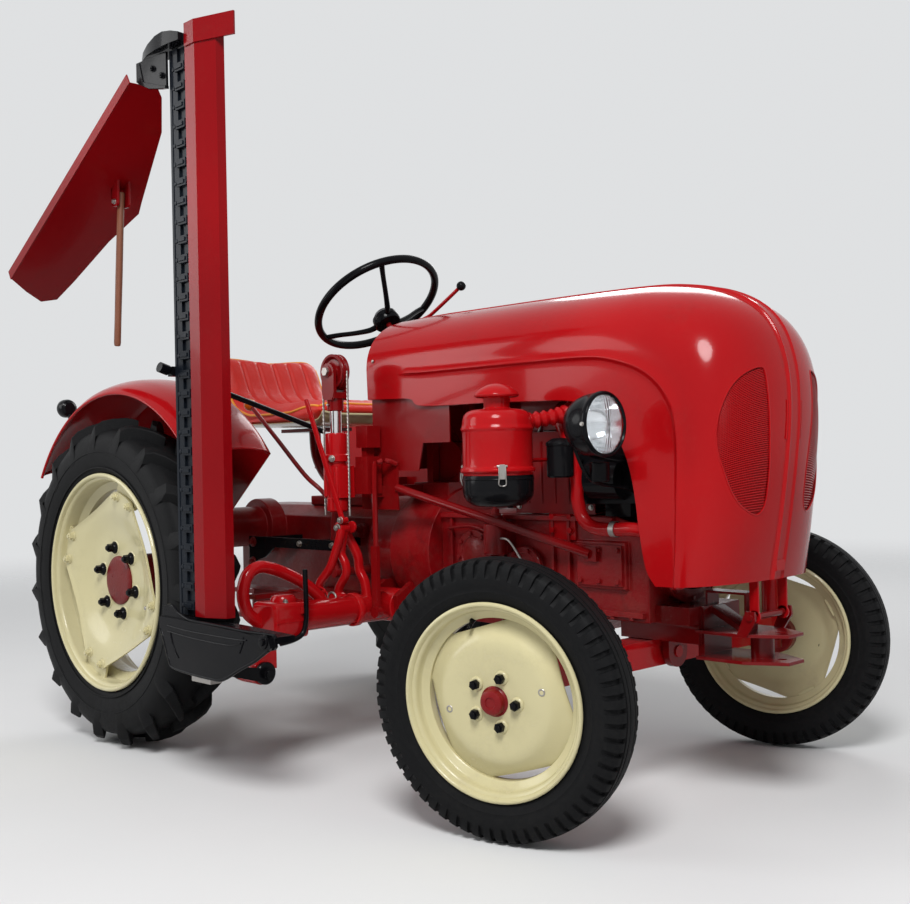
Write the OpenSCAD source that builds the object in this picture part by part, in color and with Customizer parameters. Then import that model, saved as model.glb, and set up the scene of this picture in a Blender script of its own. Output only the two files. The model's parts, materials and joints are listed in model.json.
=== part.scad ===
// Vintage light tractor with a side mower folded upright.
// +X points forward, +Y to the tractor's left, +Z up.
// Everything is laid out from the rear axle's line at ground level, then moved to the origin.

/* [Wheels] */
// Distance from the rear axle to the front axle
wheelbase = 1523; // [1480:1:1600]
// Distance between the rear tyres' middle planes
rear_track = 1334; // [1310:1:1400]
// Radius of a rear tyre to the lugs' tips
rear_tyre_r = 504; // [490:1:510]
// Width of a rear tyre
rear_tyre_w = 200; // [180:1:210]
// Distance between the kingpins
kingpin_track = 1093; // [1060:1:1120]
// Radius of a front tyre
front_tyre_r = 319; // [305:1:325]
// Width of a front tyre
front_tyre_w = 112; // [100:1:118]
// Distance from a kingpin to the front wheel's middle plane
kingpin_offset = 60; // [52:1:80]
// Lean of the front wheels, top outwards, in degrees
camber = 2.6; // [0:0.1:4]
// How far the parked front wheels are turned to the left, in degrees
parked_steer = 14.2; // [0:0.1:20]
// Radius of a rear rim at its flange
rear_rim_r = 328; // [315:1:335]
// Radius of a front rim at its flange
front_rim_r = 220; // [208:1:226]

/* [Hood] */
// Half of the hood's width at its side rib
hood_half_w = 250; // [235:1:265]
// Thickness of the hood's sheet
hood_wall = 4; // [3:0.5:6]
// Height of the raised band along the hood's crest
ridge_h = 7; // [4:0.5:10]
// Half of the raised band's width
ridge_half_w = 24; // [16:1:34]
// How far the rib on each side stands out
rib_h = 6; // [3:0.5:9]
// Height of the crest at the rear of the hood
hood_top_z = 1288; // [1260:1:1310]

/* [Fenders] */
// Radius of the fender's crown from the rear axle
fender_r = 625; // [600:1:650]
// Distance from the middle to the fender's outer edge
fender_outer_y = 720; // [690:1:740]
// Distance from the middle to the fender's inner plate
fender_inner_y = 450; // [430:1:480]
// Thickness of the fender's sheet
fender_wall = 4; // [3:0.5:6]

/* [Steering] */
// Outer radius of the steering wheel
hand_wheel_r = 218; // [190:1:225]
// Radius of the steering wheel's rim tube
hand_rim_r = 13; // [10:0.5:16]
// Tilt of the steering column from upright, in degrees
column_tilt = 36.4; // [30:0.1:42]
// Length of the steering arms on the knuckles
steer_arm_l = 130; // [110:1:150]

/* [Seat] */
// Half of the seat's width
seat_half_w = 220; // [200:1:240]
// Thickness of the seat cushion at its front
cushion_h = 62; // [50:1:75]

/* [Mower] */
// Height of the folded cutter bar's top end
bar_top_z = 1962; // [1800:1:2000]
// Height of the folded cutter bar's lower end
bar_low_z = 400; // [380:1:420]
// Distance between the cutter bar's fingers
finger_pitch = 50.8; // [45:0.1:80]
// Height of the hinge that the cutter bar folds on
fold_z = 300; // [285:1:320]
// Distance from the middle to the fold hinge
fold_y = 690; // [670:1:710]
// Height of the pivot that the mower's arm is lifted on
arm_pivot_z = 430; // [415:1:450]

/* [Lift] */
// Outer radius of the lift cylinder
lift_r = 31; // [27:1:36]
// Radius of the lift cylinder's rod
lift_rod_r = 17; // [12:0.5:20]
// Radius of the rope sheave
sheave_r = 52; // [44:1:60]

/* [Fits] */
// Gap round a turning shaft in its hole
running_gap = 0.05; // [0.02:0.01:0.1]
// Gap between pieces that pass close by
seat_gap = 0.3; // [0.3:0.1:0.6]
// Gap beside a turning hub
side_gap = 1; // [0.6:0.1:2]

/* [Hidden] */

// Smoothness of round pieces
fine = 96;
round_fn = 48;
small_fn = 24;

// Wheel places
rear_z = rear_tyre_r;
tread_half_w = 0.64 * front_tyre_w / 2;
front_z = front_tyre_r * cos(camber) + tread_half_w * sin(camber);
rear_y = rear_track / 2;
kingpin_y = kingpin_track / 2;

shoe_y = fold_y + 200;

// Drive line
portal_z = rear_z + 141;
portal_y = 400;
case_w = 60;
case_r = 84;
hub_shaft_r = 30;
gearbox_half_w = 125;
gearbox_rear_x = -175;
gearbox_top_z = 715;
cover_top_z = gearbox_top_z + 30;
tower_top_z = cover_top_z + 60;
engine_half_w = 135;
engine_front_x = wheelbase + 77;
engine_rear_x = 860;
clutch_r = 165;
bell_r = 190;
bell_rear_x = 690;
clutch_z = 585;
clutch_top_z = 790;
engine_top_z = 705;
carrier_z = 440;
clutch_rear_x = 560;

// Front axle
axle_x = wheelbase;
beam_z = 355;
beam_half_h = 34;
boss_half_h = 36;
boss_r = 28;
kingpin_tube_r = 24;
kingpin_top_z = 500;
kingpin_r = 16;
cheek_t = 24;
knuckle_low_z = beam_z - boss_half_h - side_gap - cheek_t;
stub_r = 22;
front_hub_r = 52;
arm_t = 12;

// Steering column, from its hand wheel down to the steering box
hand_wheel_c = [436, 0, 1367];
hub_drop = 73;
column_l = 560;
column_dir = [-sin(column_tilt), 0, cos(column_tilt)];
hand_hub_c = hand_wheel_c - hub_drop * column_dir;
box_c = hand_hub_c - column_l * column_dir;

// Crest, rib and lower edge of the hood, from the rear to the front axle
// [crest_x, crest_z, rib_x, rib_z, edge_x, edge_z]
HOOD_REAR = [
    [ 660, hood_top_z,     672, 1108,  675, 1037],
    [ 790, hood_top_z + 3, 790, 1108,  790, 1034],
    [ 870, hood_top_z + 3, 870, 1108,  862, 1030],
    [ 930, hood_top_z + 3, 930, 1108,  914, 1008],
    [1180, hood_top_z + 3, 1180, 1108, 1180, 1005],
    [1340, hood_top_z + 2, 1340, 1108, 1330, 1001],
];
// The same for the nose, with its lengths taken from the front axle
NOSE = [
    [  0, hood_top_z - 1, -23, 1107, -85,  997],
    [117, 1279,            57, 1099,  -3,  978],
    [229, 1256,           149, 1072,  57,  930],
    [317, 1214,           209, 1032,  89,  880],
    [371, 1155,           245,  980, 109,  830],
    [401, 1070,           257,  925, 121,  780],
    [409,  970,           260,  860, 129,  730],
    [399,  850,           257,  780, 135,  682],
    [377,  700,           251,  670, 153,  590],
    [351,  556,           241,  550, 180,  549],
];
HOOD = concat(HOOD_REAR, [for (r = NOSE) [for (k = [0:5]) k % 2 == 0 ? axle_x + r[k] : r[k]]]);
// Distances from the middle plane at which the hood's skin has its rows
HOOD_Y = [0, 21, 27, 60, 100, 140, 175, 205, 228, 241, 248];
hood_bulge = 2.3;
hood_step = 3;
hood_hinge = [axle_x + 330, 0, 470];

// The origin is the middle of the whole machine, at the ground
fender_front = 39.5;
fender_rear = 146.5;
nose_reach = max([for (r = smooth_rows(HOOD, hood_step)) hood_point(r, 0, 0).x]);
origin_x = (nose_reach + fender_r * cos(fender_rear)) / 2;
origin_y = (rear_y + rear_tyre_w / 2 - shoe_y) / 2;

// Mower
bar_y = -850;
bar_back_x = 588;
bar_w = 36;
guard_x0 = 674;
finger_x1 = 702;
lift_c = [650, -352, 0];
sheave_z = 1118;
casting_half_w = 36;

// Shapes
module block(lo, hi) { translate(lo) cube(hi - lo); }

module rod(p, q, r, fn = small_fn) {
    d = q - p;
    len = norm(d);
    translate(p) rotate([0, acos(d.z / len), atan2(d.y, d.x)])
        cylinder(h = len, r = r, $fn = fn);
}

// A square bar between two points
module bar(p, q, w, t) {
    d = q - p;
    translate(p) rotate([0, acos(d.z / norm(d)), atan2(d.y, d.x)])
        translate([-t / 2, -w / 2, 0]) cube([t, w, norm(d)]);
}

// An outline in X and Z, as thick as from y0 to y1
module slab(pts, y0, y1) {
    translate([0, y1, 0]) rotate([90, 0, 0]) linear_extrude(y1 - y0) polygon(pts);
}

// An outline in Y and Z, as thick as from x0 to x1
module wall(pts, x0, x1) {
    translate([x0, 0, 0]) rotate([90, 0, 90]) linear_extrude(x1 - x0) polygon(pts);
}

module disc_y(c, r, w, fn = round_fn) {
    translate(c) rotate([90, 0, 0]) cylinder(h = w, r = r, center = true, $fn = fn);
}

module disc_x(c, r, w, fn = round_fn) {
    translate(c) rotate([0, 90, 0]) cylinder(h = w, r = r, center = true, $fn = fn);
}

module both_sides() {
    children();
    mirror([0, 1, 0]) children();
}

// Moves the whole layout so that the origin lies below the middle
module placed() { translate([-origin_x, -origin_y, 0]) children(); }

// A rear wheel's own frame: +Z points away from the tractor. side is -1 right, 1 left
module rear_frame(side) {
    translate([0, side * rear_y, rear_z]) rotate([-side * 90, 0, 0]) children();
}

// A front wheel's frame has its origin in the hub, hub_in from the hub's inner face
hub_in = 20;
module kingpin_frame(side) {
    translate([axle_x, side * kingpin_y, 0]) rotate([0, 0, parked_steer]) children();
}

module front_frame(side) {
    kingpin_frame(side)
        translate([0, side * kingpin_offset, front_z])
            rotate([-side * camber, 0, 0]) rotate([-side * 90, 0, 0]) children();
}

// Smooth step between the rows of a table
function knot(t, i) = t[max(0, min(len(t) - 1, i))];
function blend_row(t, i, f) =
    let (a = knot(t, i - 1), b = knot(t, i), c = knot(t, i + 1), d = knot(t, i + 2))
    0.5 * ((2 * b) + (c - a) * f + (2 * a - 5 * b + 4 * c - d) * f * f
        + (3 * b - a - 3 * c + d) * f * f * f);
function smooth_rows(t, n) = concat(
    [for (i = [0:len(t) - 2], k = [0:n - 1]) blend_row(t, i, k / n)], [t[len(t) - 1]]);

// A closed sheet between an outer and an inner grid of points of one size
module sheet(outer, inner) {
    rows = len(outer);
    cols = len(outer[0]);
    n = rows * cols;
    function at(i, j) = i * cols + j;
    points = concat([for (row = outer, p = row) p], [for (row = inner, p = row) p]);
    quads = concat(
        [for (i = [0:rows - 2], j = [0:cols - 2])
            [at(i, j), at(i, j + 1), at(i + 1, j + 1), at(i + 1, j)]],
        [for (i = [0:rows - 2], j = [0:cols - 2])
            [n + at(i, j), n + at(i + 1, j), n + at(i + 1, j + 1), n + at(i, j + 1)]],
        [for (i = [0:rows - 2])
            [at(i, 0), at(i + 1, 0), n + at(i + 1, 0), n + at(i, 0)]],
        [for (i = [0:rows - 2])
            [at(i, cols - 1), n + at(i, cols - 1), n + at(i + 1, cols - 1), at(i + 1, cols - 1)]],
        [for (j = [0:cols - 2])
            [at(0, j), n + at(0, j), n + at(0, j + 1), at(0, j + 1)]],
        [for (j = [0:cols - 2])
            [at(rows - 1, j), at(rows - 1, j + 1), n + at(rows - 1, j + 1), n + at(rows - 1, j)]]);
    triangles = [for (q = quads, k = [1, 2]) [q[0], q[k], q[k + 1]]];
    polyhedron(points, triangles);
}

// A round bar bent smoothly through its points. ref is a direction that it never runs along
function turned(t, ref, r, a) =
    let (u = cross(ref, t) / norm(cross(ref, t)), v = cross(t, u) / norm(t))
    r * (cos(a) * u + sin(a) * v);
module pipe(pts, r, ref = [0, 1, 0], sides = 12, steps = 4) {
    path = smooth_rows(pts, steps);
    n = len(path);
    rings = [for (i = [0:n - 1])
        let (t = path[min(n - 1, i + 1)] - path[max(0, i - 1)])
        [for (k = [0:sides - 1]) path[i] + turned(t, ref, r, 360 * k / sides)]];
    points = [for (ring = rings, p = ring) p];
    around = [for (i = [0:n - 2], k = [0:sides - 1])
        let (a = i * sides + k, b = i * sides + (k + 1) % sides) [a, b, b + sides, a + sides]];
    triangles = concat(
        [for (q = around) [q[0], q[2], q[1]]], [for (q = around) [q[0], q[3], q[2]]],
        [[for (k = [0:sides - 1]) k]],
        [[for (k = [sides - 1:-1:0]) (n - 1) * sides + k]]);
    polyhedron(points, triangles);
}

// Hood skin. A row has its crest, rib and edge; deep moves the skin inwards
function hood_point(row, y, deep) =
    let (w = hood_half_w - deep, f = min(1, abs(y) / hood_half_w),
        crest = [row[0], row[1]], rib = [row[2], row[3]],
        up = (crest - rib) / norm(crest - rib),
        h = norm(crest - rib) - deep + (abs(y) < ridge_half_w && deep == 0 ? ridge_h : 0),
        lift = h * pow(1 - pow(f, hood_bulge), 1 / hood_bulge),
        p = rib + up * lift)
    [p.x, sign(y) * f * w, p.y];
function hood_side(row, f, y, side) = [
    row[2] + (row[4] - row[2]) * f, side * y, row[3] + (row[5] - row[3]) * f];
function hood_half(row, deep, side) = [
    hood_side(row, 1, hood_half_w - deep, side), hood_side(row, 0.3, hood_half_w - deep, side),
    hood_side(row, 0.15, hood_half_w - deep, side),
    hood_side(row, 0.05, hood_half_w - deep + (deep == 0 ? rib_h : 0), side)];
function hood_row(row, deep) = concat(
    hood_half(row, deep, -1),
    [for (k = [len(HOOD_Y) - 1:-1:1]) hood_point(row, -HOOD_Y[k], deep)],
    [hood_point(row, 0, deep)],
    [for (k = [1:len(HOOD_Y) - 1]) hood_point(row, HOOD_Y[k], deep)],
    [for (k = [3:-1:0]) hood_half(row, deep, 1)[k]]);

module hood() {
    rows = smooth_rows(HOOD, hood_step);
    color("crimson") placed() {
        sheet([for (r = rows) hood_row(r, 0)], [for (r = rows) hood_row(r, hood_wall)]);
        // Straps from the nose down to the hinge
        both_sides() difference() {
            union() {
                block([hood_hinge.x - 12, 60, hood_hinge.z], [hood_hinge.x + 12, 66, 640]);
                block([hood_hinge.x - 12, 60, 600], [hood_hinge.x + 29, 66, 640]);
                disc_y([hood_hinge.x, 63, hood_hinge.z], 16, 6);
            }
            disc_y([hood_hinge.x, 63, hood_hinge.z], 8 + running_gap, 20);
        }
    }
}

// Half-moon screens on the nose, just in front of the skin
screen_y0 = 66;
screen_low = 12.2;
screen_high = 10.2;
screen_gap = 2;
screen_t = 2;
screen_rows = 10;
screen_half_w = 122;
function screen_point(s, y, out) =
    let (i = floor(s), row = blend_row(HOOD, i, s - i)) hood_point(row, y, -out);
function screen_grid(out, side) = [
    for (k = [0:screen_rows])
        let (f = k / screen_rows, s = 10.0 + 3.7 * f,
            w = screen_half_w * sqrt(max(0.02, 1 - pow(2 * f - 1, 2))))
        [for (j = [0:4]) screen_point(s, side * (screen_y0 + w * j / 4), out)]];

module grilles() {
    color("firebrick") placed() {
        sheet(screen_grid(screen_gap + screen_t, 1), screen_grid(screen_gap, 1));
        mirror([0, 1, 0]) sheet(screen_grid(screen_gap + screen_t, 1), screen_grid(screen_gap, 1));
    }
}

// Gearbox and rear axle
module gearbox() {
    w = gearbox_half_w;
    color("red") placed() {
        wall([[-w, 435], [30 - w, 415], [w - 30, 415], [w, 435], [w, 680], [w - 45, gearbox_top_z],
            [45 - w, gearbox_top_z], [-w, 680]], gearbox_rear_x, clutch_rear_x);
        // Axle tubes
        both_sides() translate([0, w, portal_z]) rotate([-90, 0, 0]) {
            cylinder(h = portal_y - w, r = 66, $fn = round_fn);
            cylinder(h = 60, r = 92, $fn = round_fn);
            translate([0, 0, portal_y - w - 14]) cylinder(h = 14, r = 80, $fn = round_fn);
        }
        // Stub of the power take-off shaft with its collar
        disc_x([gearbox_rear_x - 12, 0, 560], 42, 24);
        disc_x([gearbox_rear_x - 50, 0, 560], 17.5, 100);
        // Top cover with the levers' tower
        block([180, -90, gearbox_top_z], [470, 90, cover_top_z]);
        translate([330, 0, cover_top_z]) cylinder(h = tower_top_z - cover_top_z, r = 48, $fn = round_fn);
    }
}

module clutch_housing() {
    color("red") placed() {
        disc_x([(clutch_rear_x + bell_rear_x) / 2, 0, clutch_z], clutch_r, bell_rear_x - clutch_rear_x);
        disc_x([(bell_rear_x + engine_rear_x) / 2, 0, clutch_z], bell_r, engine_rear_x - bell_rear_x);
        block([700, -95, 720], [850, 95, clutch_top_z]);
    }
}

// Cases that carry the wheels lower than the axle tubes
module final_drives() {
    color("red") placed() both_sides() {
        c = portal_y + case_w / 2;
        disc_y([0, c, portal_z], case_r, case_w);
        disc_y([0, c, rear_z], case_r, case_w);
        block([-case_r, portal_y, rear_z], [case_r, portal_y + case_w, portal_z]);
        disc_y([0, portal_y + case_w + 20, rear_z], 58, 40);
        disc_y([0, (portal_y + case_w + rear_y) / 2 + 40, rear_z], hub_shaft_r,
            rear_y - portal_y - case_w + 80);
    }
}

module engine_block() {
    w = engine_half_w;
    color("red") placed() {
        slab([[engine_rear_x, 400], [engine_front_x - 240, 390], [engine_front_x - 160, carrier_z],
            [engine_front_x, carrier_z], [engine_front_x, engine_top_z - 30],
            [engine_front_x - 100, engine_top_z], [engine_rear_x, engine_top_z]],
            -w, w);
        // Timing cover
        disc_x([engine_front_x + 15, 0, 600], 112, 30);
        // Side covers
        disc_y([1010, -w - 6, 590], 62, 12);
        disc_y([1200, -w - 6, 560], 52, 12);
        block([engine_front_x - 220, -w - 14, 520], [engine_front_x - 60, -w, 640]);
    }
}

// One finned barrel with its head and rocker cover
barrel_x = 1290;
fin_n = 9;
head_half_w = 115;
module cylinder_barrel() {
    color("dimgray") placed() {
        translate([barrel_x, 0, engine_top_z]) {
            cylinder(h = 250, r = 78, $fn = fine);
            for (k = [0:fin_n - 1]) translate([0, 0, 16 + 22 * k]) cylinder(h = 6, r = 118, $fn = fine);
        }
        block([barrel_x - 125, -head_half_w, engine_top_z + 225],
            [barrel_x + 125, head_half_w, engine_top_z + 330]);
        block([barrel_x - 90, -75, engine_top_z + 330], [barrel_x + 90, 75, engine_top_z + 385]);
    }
}

fan_x = engine_front_x - 55;
fan_z = 860;
module fan_housing() {
    color("black") placed() {
        disc_x([fan_x, 0, fan_z], 152, 110);
        block([fan_x - 105, -120, fan_z - 100], [fan_x - 55, 120, fan_z + 100]);
        disc_x([fan_x + 67, 0, fan_z], 60, 24);
        // Dynamo at the right side with its cradle
        disc_x([fan_x - 25, -178, 800], 52, 100);
        block([fan_x - 65, -150, engine_top_z], [fan_x + 15, -110, 800]);
    }
}

pipe_r = 17;
module exhaust_pipe() {
    color("red") placed() {
        block([1330, -head_half_w - 12, 960], [1370, -head_half_w, 1010]);
        pipe([[1350, -head_half_w - 6, 985], [1350, -160, 984], [1375, -198, 955], [1425, -215, 880],
            [1443, -215, 793], [1444, -215, 748], [1464, -215, 698], [1514, -215, 677],
            [1625, -213, 678], [1700, -205, 660], [1722, -195, 600], [1724, -190, 540]], pipe_r,
            [0, 0.3, 1]);
    }
}

// Air cleaner beside the engine
cleaner_c = [1327, -380, 0];
cleaner_r = 88;
module air_cleaner() {
    color("crimson") placed() {
        translate([cleaner_c.x, cleaner_c.y, 815]) cylinder(h = 158, r = cleaner_r, $fn = fine);
        translate([cleaner_c.x, cleaner_c.y, 973]) cylinder(h = 9, r1 = cleaner_r, r2 = 70, $fn = fine);
        translate([cleaner_c.x, cleaner_c.y, 982]) cylinder(h = 26, r = 34, $fn = round_fn);
        translate([cleaner_c.x, cleaner_c.y, 1006]) cylinder(h = 14, r = 56, $fn = round_fn);
        translate([cleaner_c.x, cleaner_c.y, 1020]) cylinder(h = 25, r1 = 56, r2 = 30, $fn = round_fn);
        for (z = [890, 945]) translate([cleaner_c.x, cleaner_c.y, z])
            cylinder(h = 8, r = cleaner_r + 3, $fn = fine);
        // Intake hose, from the cleaner's shoulder to the head
        pipe([[cleaner_c.x + 50, -330, 952], [1418, -268, 956], [1427, -215, 972], [1402, -160, 1006],
            [1396, -head_half_w - 9, 1010]], 19, [0, 0, 1]);
        block([1376, -head_half_w - 12, 988], [1414, -head_half_w, 1032]);
        // Carrying bracket
        block([cleaner_c.x - 45, cleaner_c.y + 60, 850], [cleaner_c.x + 45, -engine_half_w, 856]);
        block([cleaner_c.x - 45, -engine_half_w - 6, 640], [cleaner_c.x + 45, -engine_half_w, 856]);
    }
}

module oil_bowl() {
    color("black") placed() translate([cleaner_c.x, cleaner_c.y, 0]) {
        translate([0, 0, 764]) cylinder(h = 815 - 764, r = cleaner_r + 1, $fn = fine);
        translate([0, 0, 739]) cylinder(h = 25, r1 = 60, r2 = cleaner_r + 1, $fn = fine);
    }
}

// Dash and side panels under the rear of the hood
cowl_half_w = 240;
cowl_t = 4;
module dash_cowl() {
    color("firebrick") placed() {
        both_sides()
            slab([[683, 830], [880, 826], [900, 905], [1010, 905], [1010, 1060], [683, 1095]],
                cowl_half_w - cowl_t, cowl_half_w);
        difference() {
            wall([[-cowl_half_w, 830], [cowl_half_w, 830], [cowl_half_w, 1095], [170, 1200],
                [-170, 1200], [-cowl_half_w, 1095]], 683, 683 + cowl_t);
            rod(box_c, hand_hub_c, 32);
        }
        // Tank under the hood, on a shelf between the side panels
        block([760, -150, 1060], [1000, 150, 1230]);
        block([755, -cowl_half_w, 1050], [1000, cowl_half_w, 1060]);
        // Posts down to the clutch housing
        both_sides() block([755, 65, clutch_top_z + seat_gap], [780, 90, 1055]);
    }
}

module steering_column() {
    color("firebrick") placed() {
        rod(box_c, hand_hub_c - 40 * column_dir, 22, round_fn);
        rod(box_c, hand_hub_c + 20 * column_dir, 9, round_fn);
        disc_y(box_c, 55, 110);
        block([box_c.x - 50, -50, 790], [box_c.x + 38, 50, box_c.z]);
        rod([box_c.x, 0, box_c.z], [box_c.x, pitman_y - 24, box_c.z], 20, round_fn);
        rod([box_c.x, 0, box_c.z], [box_c.x, pitman_y, box_c.z], 12, round_fn);
    }
}

module steering_wheel() {
    hub_r = 42;
    color("black") placed() translate(hand_wheel_c) rotate([0, -column_tilt, 0]) {
        rotate_extrude($fn = fine)
            translate([hand_wheel_r - hand_rim_r, 0]) circle(r = hand_rim_r, $fn = small_fn);
        difference() {
            translate([0, 0, -hub_drop - 16]) cylinder(h = 46, r = hub_r, $fn = round_fn);
            translate([0, 0, -hub_drop - 20]) cylinder(h = 42, r = 9 + running_gap, $fn = round_fn);
        }
        for (k = [0:2]) rotate([0, 0, 120 * k])
            pipe([[hub_r - 8, 0, -hub_drop], [110, 0, -46], [hand_wheel_r - hand_rim_r, 0, 0]],
                8, sides = 8);
    }
}

module hand_levers() {
    color("red") placed() {
        // Throttle beside the column
        pipe([[532, 23.4, 1236], [531, 46, 1240], [520, 110, 1300], [560, 120, 1326], [640, 120, 1368],
            [696, 120, 1399]], 6, [0.2, 0, 1], 8);
        translate([703, 120, 1403]) sphere(r = 15, $fn = small_fn);
        // Gear lever on the tower between the feet
        translate([330, 20, tower_top_z]) cylinder(h = 16, r = 14, $fn = small_fn);
        pipe([[330, 20, tower_top_z + 8], [332, 20, 850], [372, 20, 900], [460, 20, 1000], [540, 20, 1090]],
            8, sides = 8);
        translate([540, 20, 1094]) sphere(r = 17, $fn = small_fn);
        // Lever of the power take-off with its knob
        disc_y([500, -gearbox_half_w - 10, 640], 22, 20);
        pipe([[500, -gearbox_half_w - 10, 640], [508, -205, 672], [490, -280, 765], [428, -300, 818],
            [290, -300, 929], [155, -300, 1037]], 7, [0.3, 1, 0.2], 8);
        translate([142, -300, 1047]) sphere(r = 20, $fn = small_fn);
    }
}

module pedals() {
    color("red") placed() both_sides() {
        translate([530, gearbox_half_w, 520]) rotate([-90, 0, 0]) cylinder(h = 150, r = 14, $fn = small_fn);
        pipe([[530, 262, 520], [515, 262, 600], [525, 262, 710], [558, 262, 802]], 10, sides = 8);
        translate([560, 262, 800]) rotate([0, 30, 0]) translate([-40, -36, 0]) cube([80, 72, 10]);
    }
}

module footboards() {
    color("firebrick") placed() both_sides() {
        block([430, 195, 455], [590, 440, 461]);
        for (x = [300, 510]) block([x, gearbox_half_w, 440], [x + 40, 430, 455]);
        block([330, 195, 455], [430, 300, 461]);
    }
    // The left board reaches further forward, with its front turned up
    color("firebrick") placed() {
        block([590, 195, 455], [840, 440, 461]);
        block([834, 195, 455], [840, 440, 520]);
    }
}

// Fender: an arch over the wheel with a lip, and a plate on its inner side
module fenders() {
    r = fender_r;
    t = fender_wall;
    yi = fender_inner_y;
    yo = fender_outer_y;
    plate_low_r = portal_z - rear_z + case_r + 15;
    color("crimson") placed() both_sides() {
        translate([0, 0, rear_z]) rotate([90, 0, 0]) rotate([0, 0, fender_front])
            rotate_extrude(angle = fender_rear - fender_front, $fn = 128)
                polygon([[plate_low_r, -yi], [r - 26, -yi], [r - 8, -yi - 40], [r, -yi - 110],
                    [r - 4, -yi - 180], [r - 26, -yo + 22], [r - 45, -yo], [r - 45 - t, -yo + t],
                    [r - 28 - t, -yo + 25], [r - 4 - t, -yi - 178], [r - t, -yi - 108],
                    [r - 8 - t, -yi - 43], [r - 26 - t, -yi - t], [plate_low_r, -yi - t]]);
        // Saddles on the final drives
        difference() {
            block([-60, portal_y, portal_z], [60, yi + t / 2, portal_z + 150]);
            disc_y([0, portal_y + case_w / 2, portal_z], case_r + seat_gap, case_w + 2);
        }
    }
}

module tail_lamps() {
    y = fender_outer_y - 30;
    // Radius of the fender's skin under the stalk's inner edge
    skin = fender_r - 4 - 22 * (y - 7 - fender_inner_y - 180) / (fender_outer_y - 22 - fender_inner_y - 180);
    color("black") placed() both_sides() translate([0, y, rear_z]) rotate([0, -32, 0]) {
        translate([0, 0, skin + seat_gap]) cylinder(h = 30, r = 7, $fn = small_fn);
        translate([0, 0, fender_r + 20]) rotate([0, 90 + 32, 0])
            cylinder(h = 40, r = 30, center = true, $fn = round_fn);
    }
}

module seat_post() {
    color("firebrick") placed() {
        block([190, -50, cover_top_z], [270, 50, cover_top_z + 12]);
        pipe([[230, 0, cover_top_z + 4], [224, 0, 775], [150, 0, 812], [102, 0, 880], [92, 0, 966]], 20);
        block([-20, -60, 960], [220, 60, 972]);
    }
}

// Seat pan and cushion, as side outlines across the seat
module seat_pan() {
    w = seat_half_w;
    color("wheat") placed()
        slab([[390, 992], [400, 1010], [360, 985], [-60, 985], [-140, 1010], [-205, 1150], [-209, 1148],
            [-146, 1006], [-62, 980], [-30, 972], [300, 972], [365, 978]], -w + 12, w - 12);
}

module seat_cushion() {
    w = seat_half_w;
    z0 = 985 + seat_gap;
    color("red") placed()
        slab([[395, z0 + 26], [390, z0 + cushion_h], [0, z0 + cushion_h], [-90, z0 + cushion_h + 40],
            [-160, 1225], [-195, 1222], [-204, 1155], [-139, 1012 + seat_gap], [-60, z0], [360, z0]], -w, w);
}

// A flat outline lifted to height z
module linear_extrude_at(z, h) { translate([0, 0, z]) linear_extrude(h) children(); }

hitch_hole_r = 11;
axle_pin_r = 15;
// Front face of the carrier, where the hitch plates start
plate_x = wheelbase + 177;
// Front carrier between the engine and the axle, with the hitch
module front_support() {
    color("firebrick") placed() {
        block([engine_front_x, -110, carrier_z], [plate_x, 110, 484]);
        block([axle_x - 64, -70, beam_z + beam_half_h + side_gap], [plate_x, 70, carrier_z]);
        // Ears round the axle's pin
        for (x = [axle_x - 64, axle_x + 44]) difference() {
            union() {
                disc_x([x + 10, 0, beam_z], 40, 20);
                block([x, -40, beam_z], [x + 20, 40, carrier_z]);
            }
            disc_x([x + 10, 0, beam_z], axle_pin_r + running_gap, 30);
        }
        // Hitch: two plates with a round post, carried by two straps
        for (z = [357, 421]) difference() {
            linear_extrude_at(z, 8) polygon([[plate_x, -85], [plate_x + 130, -85], [plate_x + 224, -34],
                [plate_x + 224, 34], [plate_x + 130, 85], [plate_x, 85]]);
            translate([plate_x + 185, 0, z - 1]) cylinder(h = 10, r = hitch_hole_r, $fn = round_fn);
        }
        block([plate_x - 10, -60, 357], [plate_x + 8, 60, 484]);
        translate([plate_x + 133, 0, 365]) cylinder(h = 56, r = 28, $fn = round_fn);
        slab([[plate_x, 470], [plate_x + 6, 484], [plate_x + 90, 437], [plate_x + 90, 429], [plate_x + 80, 429]], -28, 28);
        block([plate_x + 100, -25, 429], [plate_x + 106, 25, 520]);
        block([plate_x - 10, -25, 514], [plate_x + 106, 25, 520]);
        block([plate_x - 10, -25, 470], [plate_x - 4, 25, 520]);
        // Pin and ears of the hood's hinge
        rod([hood_hinge.x, -90, hood_hinge.z], [hood_hinge.x, 90, hood_hinge.z], 8);
        both_sides() slab([[hood_hinge.x - 40, 421], [hood_hinge.x - 12, 421], [hood_hinge.x + 14, hood_hinge.z - 8],
            [hood_hinge.x + 12, hood_hinge.z + 14], [hood_hinge.x - 12, hood_hinge.z + 14]], 78, 85);
    }
}

module front_axle() {
    y = kingpin_y;
    color("red") placed() {
        block([axle_x - 36, -y + 55, beam_z - beam_half_h], [axle_x + 36, y - 55, beam_z + beam_half_h]);
        both_sides() difference() {
            union() {
                translate([axle_x, y, beam_z - boss_half_h])
                    cylinder(h = 2 * boss_half_h, r = boss_r, $fn = round_fn);
                translate([axle_x, y, beam_z]) cylinder(h = kingpin_top_z - beam_z, r = kingpin_tube_r, $fn = round_fn);
                block([axle_x - 26, y - 57, beam_z - 30], [axle_x + 26, y, beam_z + 30]);
            }
            translate([axle_x, y, beam_z - 60])
                cylinder(h = kingpin_top_z, r = kingpin_r + running_gap, $fn = round_fn);
        }
        disc_x([axle_x, 0, beam_z], axle_pin_r, 136);
    }
}

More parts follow.
